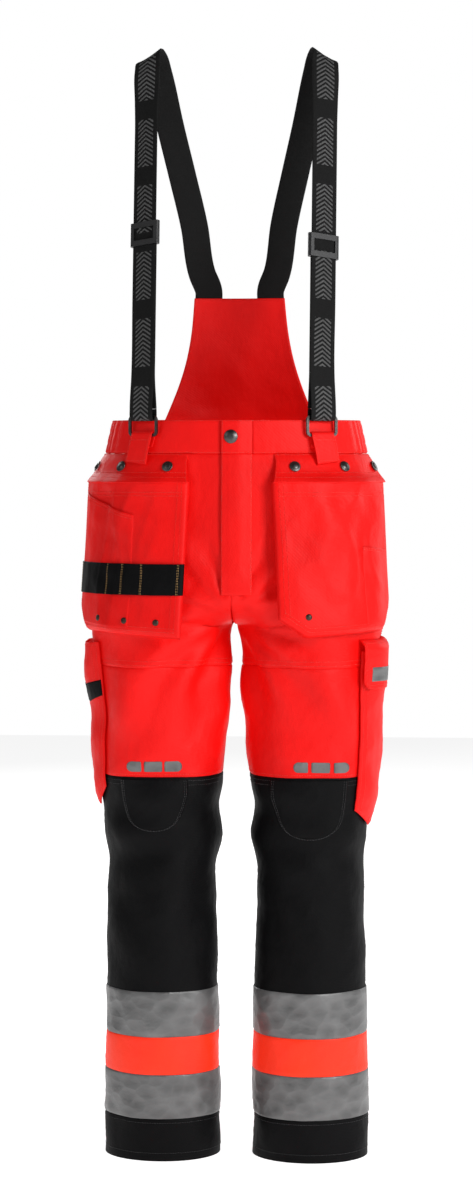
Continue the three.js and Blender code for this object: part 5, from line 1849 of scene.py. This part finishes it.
@dataclass
class KneeMarks:
    """Reflective pads above the knee, the flaps on it and the stitching of the legs and seat."""

    height: float = 0.0150
    middle: float = 0.5745
    flap_drop: float = 0.0035
    flap_power: float = 2.8
    flap_proud: float = 0.0022
    flap_cloth: float = 0.0014
    stitch_proud: float = 0.0002
    seat_top: float = 1.015
    outseam_rows: tuple[float, float] = (0.975, 0.955)
    flaps: tuple = ((Side.RIGHT, 0.066, 0.160, 0.483), (Side.LEFT, 0.055, 0.162, 0.472))
    cuts: dict = field(
        default_factory=lambda: {
            Side.RIGHT: (
                Dot(0.0716, 0.0968, 0.007, 0.002), Dot(0.1002, 0.1262, 0.002, 0.002),
                Dot(0.1304, 0.1504, 0.002, 0.007)
            ),
            Side.LEFT: (
                Dot(0.0866, 0.1077, 0.007, 0.002), Dot(0.1127, 0.1386, 0.002, 0.002),
                Dot(0.1435, 0.1635, 0.002, 0.007)
            ),
        }
    )

    def dot(self, side: Side, index: int, cut: Dot) -> bpy.types.Object:
        """One pad.

        Args:
            side: the leg.
            index: the pad's number.
            cut: its outline.

        Returns:
            The piece.
        """
        t = np.sin(np.linspace(-math.pi / 2, math.pi / 2, 15))
        z = self.middle + t * self.height / 2
        over = np.abs(t) * self.height / 2

        def indent(corner: float) -> Array:
            past = np.clip(over - (self.height / 2 - corner), 0, corner)
            return corner - np.sqrt(np.clip(corner**2 - past**2, 0, None))

        first = cut.inner + indent(cut.inner_corner)
        last = cut.outer - indent(cut.outer_corner)
        x = first[:, None] + (last - first)[:, None] * np.linspace(0, 1, 11)[None, :]
        rows = np.broadcast_to(z[:, None], x.shape)
        s = SHAPE.front_place(x, rows)
        grid = worn(side, s, rows, 0.0007)
        piece = cloth_sheet(f"{side.word}_knee_dot_{index}", grid, 0.0009, np.array([0, -1, 0]))
        WARDROBE.dress(piece, TAPE)
        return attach(piece, "root")

    def flap(self, side: Side, inner: float, outer: float, foot: float, dark: Thread) -> bpy.types.Object:
        """The round-ended flap over the knee pad's pocket.

        Args:
            side: the leg.
            inner: its end nearest the centre line.
            outer: its other end.
            foot: the height of its lowest point.
            dark: the thread for its edge.

        Returns:
            The piece.
        """
        top = LEVELS.knee - self.flap_drop
        t = edged(0.0, 0.995, 0.04, 0.03)
        z = top - (top - foot) * t
        half = (outer - inner) / 2 * (1 - t**self.flap_power) ** (1 / self.flap_power)
        across = np.concatenate(
            [np.linspace(-1, -0.9, 4)[:-1], np.linspace(-0.9, 0.9, 31), np.linspace(0.9, 1, 4)[1:]]
        )
        x = (inner + outer) / 2 + half[:, None] * across[None, :]
        rows = np.broadcast_to(z[:, None], x.shape)
        rim = np.minimum(1 - np.abs(across)[None, :], (1 - t)[:, None])
        proud = self.flap_proud - 0.0009 * (1 - smoothstep(0.0, 0.06, rim)) - 0.0004 * bump(0.10, 0.02, rim)
        s = SHAPE.front_place(x, rows)
        grid = worn(side, s, rows, proud)
        piece = cloth_sheet(f"{side.word}_knee_flap", grid, self.flap_cloth, np.array([0, -1, 0]))
        WARDROBE.dress(piece, BLACK)
        for shift in (0.90, 0.95):
            edge = (inner + outer) / 2 + half * shift
            mirror = (inner + outer) / 2 - half * shift
            low = foot + (top - foot) * (1 - shift)
            column = np.clip(z, low, None)
            line = np.concatenate([np.stack([mirror, column], -1), np.stack([edge, column], -1)[::-1]])
            keep = np.concatenate([z > low, (z > low)[::-1]])
            line = line[keep]
            dark.sew(
                worn(side, SHAPE.front_place(line[:, 0], line[:, 1]), line[:, 1], self.flap_proud + 0.0001),
                np.array([0, -1, 0])
            )
        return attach(piece, "root")

    def back_seams(self, thread: Thread, dark: Thread) -> None:
        """Topstitching down the outer sides, up the seat and across its top.

        Args:
            thread: the thread for the red cloth.
            dark: the thread for the black cloth.
        """

        def row(side: Side, s: float, heights: Array) -> Array:
            return worn(side, np.full_like(heights, s), heights, self.stitch_proud)

        for side in Side:
            out = np.array([side.value, 0.0, 0.0])
            high = np.linspace(LEVELS.knee + 0.005, self.seat_top, 90)
            low = np.linspace(LEVELS.upper_tape + 0.004, LEVELS.knee - 0.005, 60)
            for s in self.outseam_rows:
                thread.sew(row(side, s, high), out)
                dark.sew(row(side, s, low), out)
            seat = np.linspace(LEVELS.crotch + 0.05, self.seat_top, 60)
            thread.sew(row(side, 0.025, seat), np.array([0.0, 1.0, 0.0]))
            across = np.linspace(0.03, 0.95, 60)
            place = worn(side, across, 0.955 + 0.02 * across, self.stitch_proud)
            thread.sew(place, unit(place * (1, 1, 0)))

    def seams(self, thread: Thread, dark: Thread) -> None:
        """Topstitching along the leg's seams."""
        for side in Side:
            s = np.linspace(1.02, 1.98, 90)
            front = worn(side, s, np.full_like(s, 0.5), 0.0)
            out = unit((front - front.mean(0)) * (1, 1, 0))
            for z in (LEVELS.thigh + 0.004, LEVELS.thigh + 0.010, LEVELS.knee + 0.004):
                thread.sew(worn(side, s, np.full_like(s, z), 0.0002), out)
            for z in (LEVELS.knee - 0.005, LEVELS.knee - 0.011):
                dark.sew(worn(side, s, np.full_like(s, z), 0.0002), out)
            s = np.linspace(0.0, 2.0, 180)
            ring = worn(side, s, np.full_like(s, 0.1), 0.0)
            out = unit((ring - ring.mean(0)) * (1, 1, 0))
            for z in (LEVELS.cuff - 0.006, 0.012):
                dark.sew(worn(side, s, np.full_like(s, z), 0.0003), out)

    def build(self) -> None:
        """Builds the pads and the seams."""
        for side, cuts in self.cuts.items():
            for index, cut in enumerate(cuts):
                self.dot(side, index + 1, cut)
        thread, dark = Thread(), Thread()
        self.seams(thread, dark)
        self.back_seams(thread, dark)
        for side, inner, outer, foot in self.flaps:
            self.flap(side, inner, outer, foot, dark)
        thread.piece("leg_thread", RED_THREAD, "root")
        dark.piece("knee_thread", BLACK_THREAD, "root")
        log.info("knee marks built")


# ---------------------------------------------------------------- view and light


@dataclass
class Studio:
    """The plain pale room: camera, floor and soft light."""

    distance: float = 4.1
    azimuth: float = 3.5
    camera_height: float = 1.027
    aim_height: float = 0.809
    lens: float = 85.0
    sky: float = 0.11
    floor_glow: float = 0.78
    lamps: tuple = (
        ("key", (2.6, -2.6, 2.1), 1.5, 112.0),
        ("fill", (-3.0, -2.4, 2.4), 2.0, 18.0),
        ("back", (-2.0, 3.4, 2.4), 2.0, 70.0),
        ("back_side", (2.6, 2.6, 1.8), 2.0, 40.0),
    )

    def camera(self) -> None:
        """Makes the camera and makes it the scene's."""
        data = bpy.data.cameras.new("camera")
        data.lens = self.lens
        data.sensor_width = 36.0
        camera = bpy.data.objects.new("camera", data)
        bpy.context.scene.collection.objects.link(camera)
        turn = math.radians(self.azimuth)
        place = Vector((self.distance * math.sin(turn), -self.distance * math.cos(turn), self.camera_height))
        camera.location = place
        aim = Vector((0.0, 0.0, self.aim_height)) - place
        camera.rotation_euler = aim.to_track_quat("-Z", "Y").to_euler()
        bpy.context.scene.camera = camera

    def room(self) -> None:
        """Makes the floor and the even light round it."""
        floor = mesh_object("floor", [(-6, -6, 0), (6, -6, 0), (6, 6, 0), (-6, 6, 0)], [(0, 1, 2, 3)])
        n = Nodes("pale_floor")
        n.set(base_color=(0.9, 0.9, 0.9, 1.0), roughness=0.9)
        n.set(emission_color=(1.0, 1.0, 1.0, 1.0), emission_strength=self.floor_glow)
        floor.data.materials.append(n.material)
        world = bpy.data.worlds.new("studio")
        world.use_nodes = True
        background = world.node_tree.nodes["Background"]
        background.inputs["Color"].default_value = (1.0, 1.0, 1.0, 1.0)
        seen = world.node_tree.nodes.new("ShaderNodeLightPath").outputs["Is Camera Ray"]
        level = world.node_tree.nodes.new("ShaderNodeMapRange")
        level.inputs["To Min"].default_value = self.sky
        level.inputs["To Max"].default_value = 1.0
        world.node_tree.links.new(seen, level.inputs["Value"])
        world.node_tree.links.new(level.outputs["Result"], background.inputs["Strength"])
        bpy.context.scene.world = world
        bpy.context.scene.view_settings.view_transform = "Standard"

    def lamp(self, name: str, place: Sequence[float], size: float, power: float) -> None:
        """Adds one soft square lamp aimed at the garment's middle."""
        data = bpy.data.lights.new(name, "AREA")
        data.size = size
        data.energy = power
        lamp = bpy.data.objects.new(name, data)
        bpy.context.scene.collection.objects.link(lamp)
        lamp.location = place
        lamp.rotation_euler = (Vector((0, 0, 0.8)) - Vector(place)).to_track_quat("-Z", "Y").to_euler()

    def build(self) -> None:
        """Makes the camera, the room and the lamps."""
        self.camera()
        self.room()
        for name, place, size, power in self.lamps:
            self.lamp(name, place, size, power)


# ---------------------------------------------------------------- the whole


def main() -> None:
    """Loads the frame and builds every sub-assembly round it."""
    logging.basicConfig(level=logging.INFO, format="%(name)s: %(message)s")
    FRAME.update(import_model())
    SHAPE.fit_to_frame()
    Studio().build()
    Trousers().build()
    Waistband().build()
    Fly().build()
    BIB.build()
    Braces().build()
    Holster(Side.RIGHT, False, (-0.06, 0.20, 0.385, 0.535, 0.985)).build()
    Holster(Side.LEFT, True).build()
    ThighPockets().build()
    KneeMarks().build()


if __name__ == "__main__":
    main()
